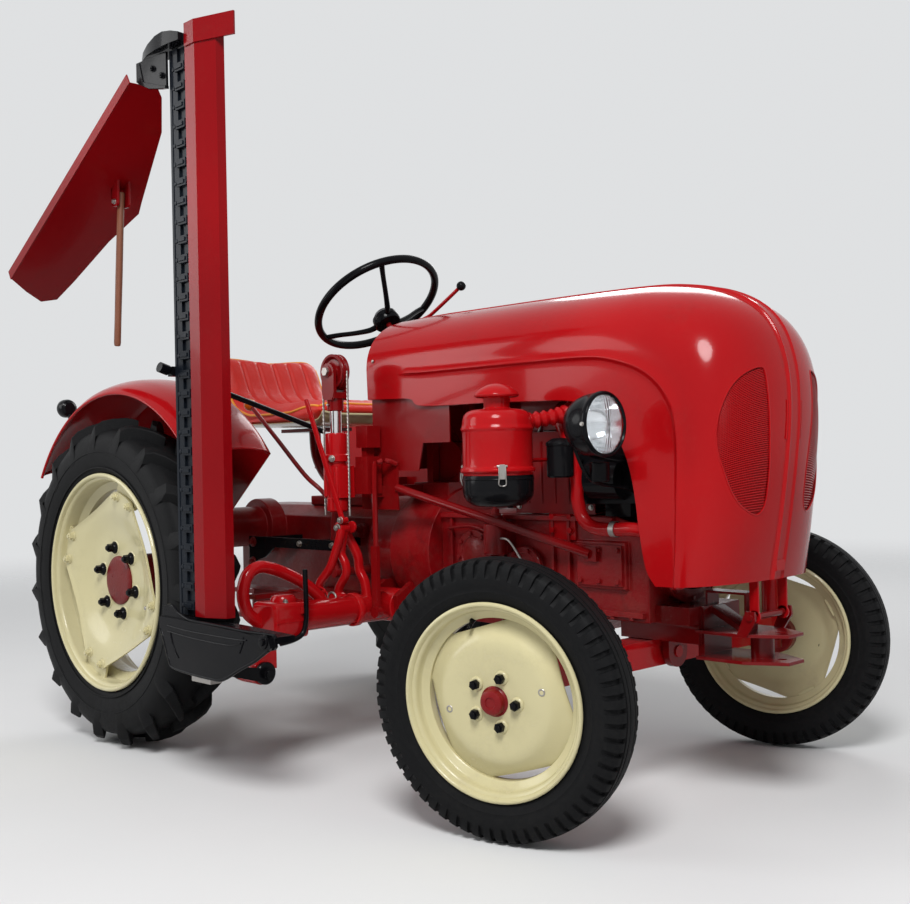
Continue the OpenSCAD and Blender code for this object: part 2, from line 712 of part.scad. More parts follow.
// Knuckle with its kingpin, stub and steering arm. side is -1 right, 1 left
module knuckle(side) {
    z0 = knuckle_low_z;
    color("darkred") placed() {
        translate([axle_x, side * kingpin_y, z0])
            cylinder(h = kingpin_top_z + 2 * side_gap - z0, r = kingpin_r, $fn = round_fn);
        kingpin_frame(side) {
            // Low cheek with its neck to the stub
            translate([0, 0, z0]) cylinder(h = cheek_t, r = 30, $fn = round_fn);
            block([-22, min(0, side * 37), z0], [22, max(0, side * 37), z0 + cheek_t]);
            // Arm to the rear for the tie rod
            difference() {
                union() {
                    block([-steer_arm_l, -14, z0], [0, 14, z0 + arm_t]);
                    translate([-steer_arm_l, 0, z0]) cylinder(h = arm_t, r = 18, $fn = round_fn);
                }
                translate([-steer_arm_l, 0, z0 - 10])
                    cylinder(h = arm_t + 20, r = link_pin_r + running_gap, $fn = round_fn);
            }
        }
        front_frame(side) translate([0, 0, -hub_in - 3]) cylinder(h = hub_in + 22, r = stub_r, $fn = round_fn);
        // Cap of the kingpin, with the arm for the drag link on the left one
        kingpin_frame(side) {
            translate([0, 0, kingpin_top_z + side_gap]) cylinder(h = arm_t, r = 26, $fn = round_fn);
            if (side == 1) difference() {
                union() {
                    block([-14, -drag_arm_l, kingpin_top_z + side_gap],
                        [14, 0, kingpin_top_z + side_gap + arm_t]);
                    translate([0, -drag_arm_l, kingpin_top_z + side_gap])
                        cylinder(h = arm_t, r = 17, $fn = round_fn);
                }
                translate([0, -drag_arm_l, kingpin_top_z - 10])
                    cylinder(h = arm_t + 30, r = link_pin_r + running_gap, $fn = round_fn);
            }
        }
    }
}

// Ends of the steering links, each with a pin down through its arm
link_pin_r = 8;
// The drag link comes 4 mm nearer to the pitman arm when the wheels are straight
link_gap = 9;
ball_z = knuckle_low_z + arm_t + side_gap;
function arm_end(side) = [axle_x - steer_arm_l * cos(parked_steer),
    side * kingpin_y - steer_arm_l * sin(parked_steer), ball_z];

module tie_rod() {
    a = arm_end(-1);
    b = arm_end(1);
    color("red") placed() {
        for (p = [a, b]) translate(p) {
            cylinder(h = 24, r = 18, $fn = round_fn);
            translate([0, 0, -side_gap - arm_t]) cylinder(h = arm_t + 10, r = link_pin_r, $fn = round_fn);
        }
        rod(a + [0, 10, 12], b + [0, -10, 12], 10, round_fn);
    }
}

// Link from the steering box to the left knuckle's upper arm
pitman_y = 222;
pitman_l = 217;
drag_arm_l = 130;
pitman_lean = asin(drag_arm_l * sin(parked_steer) / pitman_l);
drag_z = kingpin_top_z + 2 * side_gap + arm_t;
drag_front = [axle_x + drag_arm_l * sin(parked_steer), kingpin_y - drag_arm_l * cos(parked_steer), drag_z];
drag_rear = [box_c.x + pitman_l * sin(pitman_lean), pitman_y + 2 + link_gap + 9,
    box_c.z - pitman_l * cos(pitman_lean)];
module drag_link() {
    color("red") placed() {
        translate(drag_front) {
            cylinder(h = 24, r = 17, $fn = round_fn);
            translate([0, 0, -side_gap - arm_t]) cylinder(h = arm_t + 10, r = link_pin_r, $fn = round_fn);
        }
        rod(drag_rear, drag_front + [0, 0, 12], 10, round_fn);
        disc_y(drag_rear, 16, 18);
    }
}

module pitman_arm() {
    color("red") placed() translate([box_c.x, 0, box_c.z]) rotate([0, -pitman_lean, 0]) difference() {
        union() {
            disc_y([0, pitman_y - 6, 0], 26, 24);
            slab([[-14, 0], [14, 0], [12, -pitman_l], [-12, -pitman_l]], pitman_y - 10, pitman_y + 2);
            disc_y([0, pitman_y - 4, -pitman_l], 18, 12);
        }
        disc_y([0, pitman_y - 8, 0], 12 + running_gap, 30);
    }
}

// Tyres and rims in the wheel's own frame. r and h are the rim's flange radius and half width
seat_drop = 15;
module tyre_shape(r, w, rim_r, rim_h) {
    g = seat_gap;
    h = w / 2;
    side = [[rim_r - seat_drop + g, rim_h * 0.5], [rim_r - 13 + g, rim_h - 9 - g],
        [rim_r + 1, rim_h - 2 * g], [rim_r + 12, h * 0.93], [(r + rim_r) / 2 + 8, h], [r * 0.945, h * 0.93],
        [r - 8, h * 0.8], [r, h * 0.64]];
    rotate_extrude($fn = fine)
        polygon(concat(side, [for (k = [len(side) - 1:-1:0]) [side[k].x, -side[k].y]]));
}

rear_rim_h = 82;
rear_well = 24;
front_rim_h = 42;
front_well = 15;

module rear_tyre(side) {
    color("dimgray") placed() rear_frame(side)
        tyre_shape(rear_tyre_r, rear_tyre_w, rear_rim_r, rear_rim_h);
}

module front_tyre(side) {
    color("dimgray") placed() front_frame(side)
        tyre_shape(front_tyre_r, front_tyre_w, front_rim_r, front_rim_h);
}

// A rim ring of sheet t thick: flange, bead seat and well. h is half of its width
module rim_ring(r, h, well, t) {
    tyre_side = [[r, h], [r - 13, h - 9], [r - seat_drop, h * 0.5], [r - seat_drop - well, h * 0.3]];
    open_side = [[r, h + t], [r - 13 - t, h - 9 + t * 0.3], [r - seat_drop - t, h * 0.5 - t * 0.3],
        [r - seat_drop - well - t, h * 0.3 - t * 0.3]];
    n = len(tyre_side) - 1;
    rotate_extrude($fn = fine) polygon(concat(
        tyre_side, [for (k = [n:-1:0]) [tyre_side[k].x, -tyre_side[k].y]],
        [for (p = open_side) [p.x, -p.y]], [for (k = [n:-1:0]) open_side[k]]));
}

module rear_rim(side) {
    color("beige") placed() rear_frame(side) {
        well_r = rear_rim_r - seat_drop - rear_well - 2.5;
        rim_ring(rear_rim_r, rear_rim_h, rear_well, 5);
        difference() {
            union() {
                // Dished disc with cut corners
                rotate_extrude($fn = fine)
                    polygon([[0, 26], [150, 26], [215, 8], [well_r, 8], [well_r, 15], [217, 15], [152, 33], [0, 33]]);
                translate([0, 0, -96]) cylinder(h = 130, r = 75, $fn = round_fn);
            }
            for (k = [0:3]) rotate([0, 0, 90 * k - 12]) translate([225, -200, 0]) cube([100, 400, 40]);
            translate([0, 0, -200]) cylinder(h = 300, r = hub_shaft_r + running_gap, $fn = round_fn);
        }
    }
}

module front_rim(side) {
    color("beige") placed() front_frame(side) {
        well_r = front_rim_r - seat_drop - front_well - 2;
        rim_ring(front_rim_r, front_rim_h, front_well, 4);
        difference() {
            union() {
                rotate_extrude($fn = fine)
                    polygon([[0, 26], [90, 24], [150, 10], [well_r, -6], [well_r, 2], [152, 16], [92, 30], [0, 32]]);
                translate([0, 0, -hub_in]) cylinder(h = hub_in + 32, r = front_hub_r, $fn = round_fn);
                translate([0, 0, 30]) cylinder(h = 26, r = 34, $fn = round_fn);
            }
            for (k = [0:3]) rotate([0, 0, 90 * k - 12]) translate([158, -120, -30]) cube([60, 240, 60]);
            translate([0, 0, -60]) cylinder(h = 82, r = stub_r + running_gap, $fn = round_fn);
        }
    }
}

// Headlamps on brackets beside the nose
lamp_y = 398;
lamp_x = wheelbase + 160;
lamp_z = 930;
lamp_r = 74;
module headlamps() {
    color("black") placed() both_sides() {
        difference() {
            union() {
                disc_x([lamp_x - 12, lamp_y, lamp_z], lamp_r, 24, fine);
                translate([lamp_x - 60, lamp_y, lamp_z]) rotate([0, 90, 0])
                    cylinder(h = 40, r1 = 62, r2 = lamp_r - 3, $fn = fine);
                translate([lamp_x - 100, lamp_y, lamp_z]) rotate([0, 90, 0])
                    cylinder(h = 40, r1 = 34, r2 = 62, $fn = fine);
            }
            disc_x([lamp_x, lamp_y, lamp_z], lamp_r - 7, 24, fine);
        }
        // Bracket down to the engine's side
        block([lamp_x - 105, lamp_y - 30, 756], [lamp_x - 99, lamp_y + 30, lamp_z - 10]);
        block([lamp_x - 105, engine_half_w, 750], [lamp_x - 60, lamp_y + 30, 756]);
        block([lamp_x - 105, engine_half_w, 640], [lamp_x - 85, engine_half_w + 6, 756]);
    }
}

module lamp_lenses() {
    color("white") placed() both_sides() {
        translate([lamp_x - 12 + seat_gap, lamp_y, lamp_z]) rotate([0, 90, 0])
            cylinder(h = 12, r = lamp_r - 7 - seat_gap, $fn = fine);
        translate([lamp_x + seat_gap, lamp_y, lamp_z]) rotate([0, 90, 0])
            cylinder(h = 12, r1 = lamp_r - 7 - seat_gap, r2 = 40, $fn = fine);
    }
}

// Frame at the right side that carries the mower's lift
module lift_frame() {
    x = lift_c.x;
    y1 = lift_c.y + casting_half_w;
    color("red") placed() {
        // Beam from the clutch housing's top, and the upright plate
        block([700, -300, 752], [740, -95, 784]);
        block([640, -250, 715], [800, -244, 852]);
        block([x - 40, y1, 760], [x + 40, -244, 840]);
        // Two boxes behind the cylinder
        block([x + 42, -316, 762], [x + 95, -262, 870]);
        block([x + 28, -300, 896], [x + 78, -250, 959]);
        block([x + 40, -290, 860], [x + 60, -260, 900]);
        // Upright rod with its thick lower end and ball
        pipe([[797, -250, 846], [785, -272, 856], [764, -292, 852], [757, -300, 825], [757, -300, 600]], 8, [0.5, 0.5, 0], 8);
        block([748, -312, 433], [774, -300, 612]);
        disc_y([763, -306, 424], 17, 20);
        // Strut forward to the engine's side
        rod([796, -247, 778], [1440, -engine_half_w - 30, 608], 12);
        block([1420, -engine_half_w - 32, 590], [1460, -engine_half_w - 14, 626]);
        // Clevis for the mower's arm, seated round the clutch housing
        for (x0 = [arm_x - 68, arm_x + 50]) difference() {
            wall([[-226, 398], [-190, 380], [-120, 400], [-60, 460], [-70, 500], [-170, 500],
                [-232, 462]], x0, x0 + 18);
            disc_x([(clutch_rear_x + bell_rear_x) / 2, 0, clutch_z], clutch_r + seat_gap, bell_rear_x - clutch_rear_x);
            disc_x([(bell_rear_x + engine_rear_x) / 2, 0, clutch_z], bell_r + seat_gap, engine_rear_x - bell_rear_x);
        }
        disc_x([arm_x, -190, arm_pivot_z], 22, 136);
    }
}

module side_bracket() {
    color("black") placed() {
        block([128, -304, 590], [598, -298, 622]);
        block([128, -304, 500], [165, -298, 622]);
        // Arms from the gearbox's side
        for (x = [140, 440]) block([x, -300, 592], [x + 38, -gearbox_half_w - seat_gap, 618]);
    }
}

module lift_cylinder() {
    x = lift_c.x;
    y = lift_c.y;
    w = casting_half_w;
    color("red") placed() difference() {
        union() {
            translate([x, y, 711]) cylinder(h = 230, r = lift_r, $fn = round_fn);
            translate([x, y, 855]) cylinder(h = 23, r = 38, $fn = round_fn);
            block([x - 38, y - 22, 752], [x + 38, y + w, 845]);
            for (k = [-1, 0, 1]) translate([x + 24 * k, y - 22, 752]) cylinder(h = 93, r = 8, $fn = small_fn);
        }
        translate([x, y, 730]) cylinder(h = 230, r = lift_rod_r + running_gap, $fn = round_fn);
    }
}

rope_r = 4;
rope_x = sheave_r + rope_r + seat_gap;
module lift_rod() {
    x = lift_c.x;
    y = lift_c.y;
    color("silver") placed() {
        translate([x, y, 800]) cylinder(h = 230, r = lift_rod_r, $fn = round_fn);
        difference() {
            block([x - 28, y - 28, 1015], [x + 28, y + 28, sheave_z + 26]);
            block([x - 60, y - 16, 1060], [x + 60, y + 16, sheave_z + 60]);
        }
        disc_y([x, y, sheave_z], 9, 56);
        // Rope strands beside the sheave
        for (s = [-1, 1]) rod([x + s * rope_x, y, 700], [x + s * rope_x, y, sheave_z], rope_r);
    }
}

module sheave() {
    color("darkred") placed() difference() {
        translate([lift_c.x, lift_c.y, sheave_z]) rotate([90, 0, 0])
            cylinder(h = 28, r = sheave_r, center = true, $fn = fine);
        disc_y([lift_c.x, lift_c.y, sheave_z], 9 + running_gap, 60);
    }
}

module rear_drawbar() {
    color("red") placed() {
        block([-175 - 12, -80, 300], [-175, 80, 470]);
        difference() {
            block([-330, -60, 300], [-175, 60, 316]);
            translate([-290, 0, 290]) cylinder(h = 40, r = 14, $fn = round_fn);
        }
        difference() {
            block([-330, -60, 390], [-175, 60, 406]);
            translate([-290, 0, 380]) cylinder(h = 40, r = 14, $fn = round_fn);
        }
    }
}

// Mower arm from under the tractor out to the folding hinge
arm_x = 700;
arm_r = 42;
module mower_arm() {
    color("red") placed() {
        rod([arm_x, -222, arm_pivot_z], [arm_x, -560, arm_pivot_z], arm_r, round_fn);
        block([arm_x - 58, -655, 376], [arm_x + 58, -540, 480]);
        block([arm_x - 40, -fold_y - 20, fold_z + 4], [arm_x + 40, -640, 380]);
        // Hinge pin of the folding bar, with its boss
        disc_x([arm_x, -fold_y, fold_z], 32, 84);
        disc_x([arm_x, -fold_y, fold_z], 12, 160);
        // Eye round the pivot pin at the tractor
        difference() {
            disc_x([arm_x, -190, arm_pivot_z], 50, 90);
            disc_x([arm_x, -190, arm_pivot_z], 22 + running_gap, 100);
        }
        // Fork that the rope pulls on
        pipe([[arm_x - 8, -352, 452], [arm_x - 2, -352, 556], [arm_x - 20, -352, 672]], 12, sides = 8);
        pipe([[arm_x - 88, -400, 440], [arm_x - 86, -398, 490], [arm_x - 62, -378, 560], [arm_x - 34, -356, 660]],
            11, [1, 0, 0], 8);
        pipe([[arm_x + 8, -300, 452], [arm_x - 4, -308, 550], [arm_x - 30, -346, 650]], 13, sides = 8);
        disc_y([arm_x - 30, -352, 664], 17, 30);
        disc_y([arm_x - 38, -366, 464], 19, 34);
        block([arm_x - 100, -412, 410], [arm_x - 30, -386, 450]);
        // Flat lever from the fork up towards the seat
        rod([arm_x - 30, -352, 664], [arm_x + 16, -387, 692], 10);
        bar([arm_x + 18, -387, 684], [arm_x - 112, -413, 1044], 8, 18);
        // Hoop from the casting round to the hinge's block
        for (p = [[-25, -590, 480], [0, -fold_y, 380]])
            translate([arm_x + p.x, p.y, p.z]) cylinder(h = 8, r = 20, $fn = round_fn);
        pipe([[arm_x - 25, -590, 484], [arm_x - 25, -598, 530], [arm_x - 20, -650, 582], [arm_x - 14, -704, 556],
            [arm_x - 8, -714, 490], [arm_x - 3, -706, 430], [arm_x, -fold_y, 384]], 18, [1, 0, 0]);
        // Rod bent from the casting's side to the shoe
        pipe([[arm_x + 67, -560, 540], [arm_x + 67, -562, 470], [arm_x + 67, -570, 400],
            [arm_x + 67, -600, 372], [arm_x + 67, -650, 372]], 7, [1, 0, 0], 8);
        block([arm_x + 58, -590, 440], [arm_x + 67, -550, 460]);
    }
}

shoe_t = 14;
module inner_shoe() {
    y0 = -shoe_y;
    color("black") placed() {
        // Sole, with its nose turned up
        slab([[531, 461], [528, 389], [625, 306], [690, 292], [813, 305], [889, 316], [1060, 409],
            [1041, 456]], y0, y0 + shoe_t);
        // Web along the heel
        slab([[528, 461], [531, 430], [1050, 420], [1041, 461]], y0 + shoe_t, bar_y + 50);
        // Ears round the hinge pin
        for (x = [arm_x - 62, arm_x + 46]) difference() {
            union() {
                disc_x([x + 8, -fold_y, fold_z], 30, 16);
                block([x, y0 + shoe_t, fold_z - 24], [x + 16, -fold_y, fold_z + 26]);
            }
            disc_x([x + 8, -fold_y, fold_z], 12 + running_gap, 40);
        }
    }
}

module cutter_bar() {
    n = floor((bar_top_z - bar_low_z - 61) / finger_pitch);
    low = 461;
    color("midnightblue") placed() {
        block([bar_back_x, bar_y + 8, low], [bar_back_x + bar_w, bar_y + 18, bar_top_z]);
        for (k = [0:n - 1]) translate([bar_back_x + bar_w, bar_y + 6, low + finger_pitch * (k + 0.5)]) {
            translate([0, 0, -9]) cube([34, 16, 18]);
            translate([30, 4, -7]) cube([finger_x1 - bar_back_x - bar_w - 30, 9, 14]);
        }
        // Knife behind the fingers
        block([bar_back_x + bar_w, bar_y + 14, low], [bar_back_x + bar_w + 24, bar_y + 18, bar_top_z]);
    }
}

guard_t = 4;
module bar_guard() {
    t = guard_t;
    color("red") placed() {
        translate([0, 0, 461]) linear_extrude(bar_top_z + 4 - 461)
            polygon([[guard_x0, bar_y], [720, bar_y], [783, bar_y + 24], [783, bar_y + 50],
                [783 - t, bar_y + 50], [783 - t, bar_y + 24 + t], [720, bar_y + t], [guard_x0, bar_y + t]]);
        // Cap round the top end
        translate([0, 0, bar_top_z - 12]) linear_extrude(60)
            polygon([[guard_x0 + 4, bar_y - t], [722, bar_y - t], [842, bar_y + 40], [840, bar_y + 46],
                [720, bar_y], [guard_x0 + 4, bar_y]]);
    }
}

module outer_shoe() {
    color("black") placed() {
        slab([[430, bar_top_z + 4], [434, bar_top_z + 24], [500, bar_top_z + 38], [600, bar_top_z + 44],
            [guard_x0 - 1, bar_top_z + 30], [guard_x0 - 1, bar_top_z], [560, bar_top_z]],
            bar_y - 24, bar_y + 50);
        slab([[430, bar_top_z + 4], [560, bar_top_z], [bar_back_x - 1, bar_top_z], [bar_back_x - 1, 1860],
            [499.5, 1879.1], [429.5, 1913.1]], bar_y - 4, bar_y + 4);
    }
}

// Swath board: a tapered plate that slopes down to the rear from the outer shoe
board_root = [432, 0, 1906];
board_turn = 149.9;
module swath_board() {
    color("firebrick") placed() translate(board_root) rotate([0, board_turn, 0]) {
        linear_extrude(3) polygon([[-6, -876], [883, -876], [940, -806], [986, -737], [968, -688],
            [866, -670], [650, -642], [503, -606], [448, -622], [149, -701], [21, -765], [-6, -790]]);
        translate([-6, -880, -28]) cube([890, 4, 31]);
    }
    // Socket of the stick, under the board
    color("firebrick") placed() difference() {
        slab([[78, 1640], [116, 1640], [116, 1721], [78, 1699]], -744, -700);
        stick(stick_r + seat_gap);
    }
}

stick_r = 11;
module stick(r) { rod([97, -721.5, 1686], [76, -732, 1221], r); }
module swath_stick() { color("peru") placed() stick(stick_r); }

module stay_rod() {
    color("black") placed() {
        rod([bar_back_x - 14, -874, 1115], [bar_back_x - 34, -322, 948], 8);
        rod([bar_back_x - 13, -884, 1118], [bar_back_x - 14, -858, 1110], 14);
        // Clip against the bar's back
        block([bar_back_x - 24, bar_y - 2, 1094], [bar_back_x - seat_gap, bar_y + 24, 1120]);
    }
}

gearbox();
clutch_housing();
final_drives();
engine_block();
cylinder_barrel();  // cylinder
fan_housing();
exhaust_pipe();
air_cleaner();
oil_bowl();
dash_cowl();
steering_column();
hand_levers();
pedals();
footboards();
fenders();
tail_lamps();
seat_post();
seat_pan();
seat_cushion();
front_support();
front_axle();
headlamps();
lamp_lenses();
lift_frame();
side_bracket();
lift_cylinder();
rear_drawbar();
hood();
grilles();
steering_wheel();
knuckle(-1);  // knuckle_r
knuckle(1);  // knuckle_l
tie_rod();
drag_link();
pitman_arm();
front_tyre(-1);  // front_tyre_r
front_rim(-1);  // front_rim_r
front_tyre(1);  // front_tyre_l
front_rim(1);  // front_rim_l
rear_tyre(-1);  // rear_tyre_r
rear_rim(-1);  // rear_rim_r
rear_tyre(1);  // rear_tyre_l
rear_rim(1);  // rear_rim_l
lift_rod();
sheave();
mower_arm();
inner_shoe();
cutter_bar();
bar_guard();
outer_shoe();
swath_board();
swath_stick();
stay_rod();
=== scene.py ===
# %% [markdown]
# # A vintage tractor with a side mower
#
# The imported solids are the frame: they say where every piece is and what it rides on.
# This script gives them their looks. Where a solid is too plain, a finer piece takes its place.
#
# Every length of a shape is in millimetres, in the tractor's own layout: x runs forward from the
# rear axle, y to the tractor's left from its middle, z up from the ground. Finishes, lamps and
# the camera use the frame's metres.

# %% Frame
import json
import math

import bmesh
import bpy
import numpy as np
from mathutils import Matrix, Vector
from mathutils.bvhtree import BVHTree


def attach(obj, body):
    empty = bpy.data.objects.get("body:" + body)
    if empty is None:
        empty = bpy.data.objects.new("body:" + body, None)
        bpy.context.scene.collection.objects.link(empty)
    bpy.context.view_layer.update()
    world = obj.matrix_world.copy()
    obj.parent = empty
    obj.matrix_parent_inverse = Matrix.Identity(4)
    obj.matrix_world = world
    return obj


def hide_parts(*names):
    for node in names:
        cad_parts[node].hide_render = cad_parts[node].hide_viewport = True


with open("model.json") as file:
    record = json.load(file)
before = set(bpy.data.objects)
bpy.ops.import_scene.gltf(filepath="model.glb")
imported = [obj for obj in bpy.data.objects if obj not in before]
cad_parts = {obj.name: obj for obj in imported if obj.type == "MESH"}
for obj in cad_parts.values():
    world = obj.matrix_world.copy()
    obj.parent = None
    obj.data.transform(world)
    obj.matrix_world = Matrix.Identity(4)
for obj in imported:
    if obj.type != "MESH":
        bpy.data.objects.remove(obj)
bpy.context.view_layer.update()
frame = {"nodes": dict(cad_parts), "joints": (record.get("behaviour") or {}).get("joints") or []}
JOINT = {j["name"]: j for j in frame["joints"]}
MM = 0.001
ORIGIN = Vector((-JOINT["rear_wheel_r_spin"]["pos_m"][0] / MM, -JOINT["hood_tilt"]["pos_m"][1] / MM, 0))


def joint_at(name):
    """Where a joint is, in the layout's millimetres."""
    return Vector(JOINT[name]["pos_m"]) / MM + ORIGIN


# %% [markdown]
# ## Shader sums as Python sums
#
# A `Value` wraps a socket, so `dust * 0.4 + 0.1` adds the Math nodes by itself.
# `Graph` makes every other node through one method: its kind, its settings, then its inputs.

# %% Graph
class Value:
    """A number in a material's graph."""

    def __init__(self, graph, socket):
        self.graph, self.socket = graph, socket

    def __neg__(self):
        return self.graph.math("MULTIPLY", self, -1.0)


# Each operator in both orders, so that 1 - mask works as well as mask - 1
for word, operation in (("add", "ADD"), ("sub", "SUBTRACT"), ("mul", "MULTIPLY"),
                        ("truediv", "DIVIDE"), ("pow", "POWER")):
    setattr(Value, f"__{word}__", lambda a, b, op=operation: a.graph.math(op, a, b))
    setattr(Value, f"__r{word}__", lambda a, b, op=operation: a.graph.math(op, b, a))


class Graph:
    """The node graph of a new material."""

    def __init__(self, name):
        self.material = bpy.data.materials.new(name)
        self.material.use_nodes = True
        self.tree = self.material.node_tree
        self.tree.nodes.clear()
        self.place = self.node("ShaderNodeTexCoord").outputs["Object"]

    def feed(self, socket, value):
        if isinstance(value, Value):
            value = value.socket
        if isinstance(value, bpy.types.NodeSocket):
            self.tree.links.new(value, socket)
        elif isinstance(value, (tuple, list)) and socket.type == "RGBA":
            socket.default_value = (*value[:3], 1.0)
        else:
            socket.default_value = value

    def node(self, kind, settings=None, inputs=None):
        node = self.tree.nodes.new(kind)
        for key, value in (settings or {}).items():
            setattr(node, key, value)
        for key, value in (inputs or {}).items():
            self.feed(node.inputs[key], value)
        return node

    def math(self, operation, *values):
        node = self.node("ShaderNodeMath", {"operation": operation}, dict(enumerate(values)))
        return Value(self, node.outputs[0])

    def step(self, value, low, high):
        """0 below low, 1 above high, smooth between."""
        node = self.node("ShaderNodeMapRange", {"interpolation_type": "SMOOTHSTEP"},
                         {"Value": value, "From Min": low, "From Max": high})
        return Value(self, node.outputs["Result"])

    def mix(self, factor, a, b):
        node = self.node("ShaderNodeMix", {"data_type": "RGBA"}, {0: factor, 6: a, 7: b})
        return node.outputs[2]

    def noise(self, scale, detail=3.0, roughness=0.55, stretch=None, distortion=0.0):
        place = self.place
        if stretch:
            place = self.node("ShaderNodeMapping", None, {"Vector": place, "Scale": stretch}).outputs[0]
        node = self.node("ShaderNodeTexNoise", None, {
            "Vector": place, "Scale": scale, "Detail": detail, "Roughness": roughness,
            "Distortion": distortion})
        return Value(self, node.outputs["Fac"])

    def cells(self, scale, feature="F1", randomness=1.0):
        node = self.node("ShaderNodeTexVoronoi", {"feature": feature}, {
            "Vector": self.place, "Scale": scale, "Randomness": randomness})
        return Value(self, node.outputs["Distance"])

    def axis(self, letter):
        node = self.node("ShaderNodeSeparateXYZ", None, {0: self.place})
        return Value(self, node.outputs[letter])

    def bump(self, height, distance, strength=1.0):
        node = self.node("ShaderNodeBump", None, {
            "Height": height, "Distance": distance, "Strength": strength})
        return node.outputs["Normal"]

    def surface(self, inputs):
        """Ends the graph in one Principled surface and gives back the material."""
        shader = self.node("ShaderNodeBsdfPrincipled", None, inputs)
        self.node("ShaderNodeOutputMaterial", None, {"Surface": shader.outputs[0]})
        return self.material


# %% [markdown]
# ## Finishes
#
# The tractor is a restored one: glossy paint, with dust that settles low down, soft grime in
# the castings and a few small chips. Each finish is a sum of noises at three sizes: broad
# fading, middling dirt and a fine grain that breaks up the highlights. The darker reds are
# painted shade: darker copies of the red paint for parts that sit in shadow, and the castings' red is
# partly that and partly grime.

# %% Finishes
DUST = (0.17, 0.12, 0.09)


def painted(name, colour, shade, gloss=0.16, dust=0.35, grime=0.2, peel=0.00012, chip=(0.09, 0.05, 0.04),
            coat=0.35, shine=0.2):
    """Gloss paint. colour and shade are its light and deep tones."""
    g = Graph(name)
    broad = g.noise(1.7, 2)
    middle = g.noise(9.0, 5, 0.62)
    fine = g.noise(70.0, 4, 0.6)
    grain = g.noise(420.0, 2)
    low = 1.0 - g.step(g.axis("Z"), 0.12, 0.75)
    dirty = g.step(middle * 0.6 + fine * 0.4, 0.50, 0.72)
    dusty = dirty * (low * 0.75 + 0.25) * dust
    chips = g.step(g.noise(36.0, 6, 0.7), 0.735, 0.755) * (low * 0.8 + 0.2)
    tone = g.mix(g.step(broad, 0.3, 0.7), colour, shade)
    tone = g.mix(g.step(middle, 0.56, 0.8) * grime, tone, [c * 0.35 for c in colour])
    tone = g.mix(dusty, tone, DUST)
    tone = g.mix(chips * 0.8, tone, chip)
    rough = gloss + fine * 0.05 + dusty * 0.45 + chips * 0.35
    coat = coat - dusty * coat * 0.8 - chips * coat * 0.8
    bump = g.bump(g.noise(190.0, 2) + grain * 0.3 - chips * 3.0, peel)
    return g.surface({"Base Color": tone, "Roughness": rough, "Coat Weight": coat,
                      "Coat Roughness": 0.05, "Coat IOR": 1.32, "Specular IOR Level": shine,
                      "Normal": bump})


def cast_paint(name, colour, shade):
    """Brushed-on paint over rough castings, dirtier than the sheet metal. Its deep red is partly painted
    shade for the castings under the hood.
    """
    g = Graph(name)
    middle = g.noise(7.0, 6, 0.65)
    fine = g.noise(55.0, 5, 0.65)
    low = 1.0 - g.step(g.axis("Z"), 0.15, 0.85)
    oily = g.step(g.noise(4.3, 5, 0.7, distortion=0.6), 0.5, 0.68)
    dusty = g.step(fine * 0.5 + middle * 0.5, 0.46, 0.62) * (0.25 + low * 0.4)
    tone = g.mix(g.step(g.noise(2.1, 2), 0.35, 0.65), colour, shade)
    tone = g.mix(oily * 0.55, tone, (0.035, 0.006, 0.006))
    tone = g.mix(dusty * 0.2, tone, DUST)
    bump = g.bump(g.noise(120.0, 4, 0.7) + fine * 0.5, 0.0011)
    return g.surface({"Base Color": tone, "Roughness": 0.26 + fine * 0.16 + dusty * 0.3,
                      "Coat Weight": 0.2 - dusty * 0.15, "Coat Roughness": 0.1, "Coat IOR": 1.32,
                      "Specular IOR Level": 0.18, "Normal": bump})


def rubber(name):
    g = Graph(name)
    middle = g.noise(6.0, 5, 0.62)
    fine = g.noise(90.0, 5, 0.7)
    low = 1.0 - g.step(g.axis("Z"), 0.05, 0.5)
    dusty = g.step(middle * 0.55 + fine * 0.45, 0.45, 0.66) * (0.35 + 0.4 * low)
    tone = g.mix(fine, (0.0035, 0.0037, 0.0042), (0.009, 0.009, 0.0095))
    tone = g.mix(dusty * 0.05, tone, (0.09, 0.083, 0.073))
    bump = g.bump(g.noise(380.0, 3) + middle * 0.4, 0.0005)
    return g.surface({"Base Color": tone, "Roughness": 0.50 + dusty * 0.3 + fine * 0.08,
                      "Specular IOR Level": 0.08, "Normal": bump})


def steel(name, colour, gloss, rust=0.1):
    """Bare or plated metal with a little rust."""
    g = Graph(name)
    fine = g.noise(60.0, 5, 0.65)
    spots = g.step(g.noise(22.0, 6, 0.7), 0.6, 0.72) * rust
    tone = g.mix(spots, colour, (0.16, 0.07, 0.03))
    drawn = g.noise(240.0, 2, stretch=(1.0, 1.0, 0.05))
    return g.surface({"Base Color": tone, "Metallic": 1.0 - spots,
                      "Roughness": gloss + fine * 0.1 + spots * 0.4,
                      "Normal": g.bump(drawn, 0.00008)})


def vinyl(name, colour, shade, rough=0.38):
    """Seat covering: a fine leather grain with soft creases."""
    g = Graph(name)
    grain = g.cells(620.0)
    crease = g.noise(26.0, 4, 0.6, distortion=0.8)
    worn = g.step(g.noise(5.0, 4), 0.42, 0.7)
    tone = g.mix(worn * 0.5, colour, shade)
    bump = g.bump(grain * 0.6 + crease * 1.3, 0.0006)
    return g.surface({"Base Color": tone, "Roughness": rough + worn * 0.14,
                      "Specular IOR Level": 0.3, "Normal": bump})


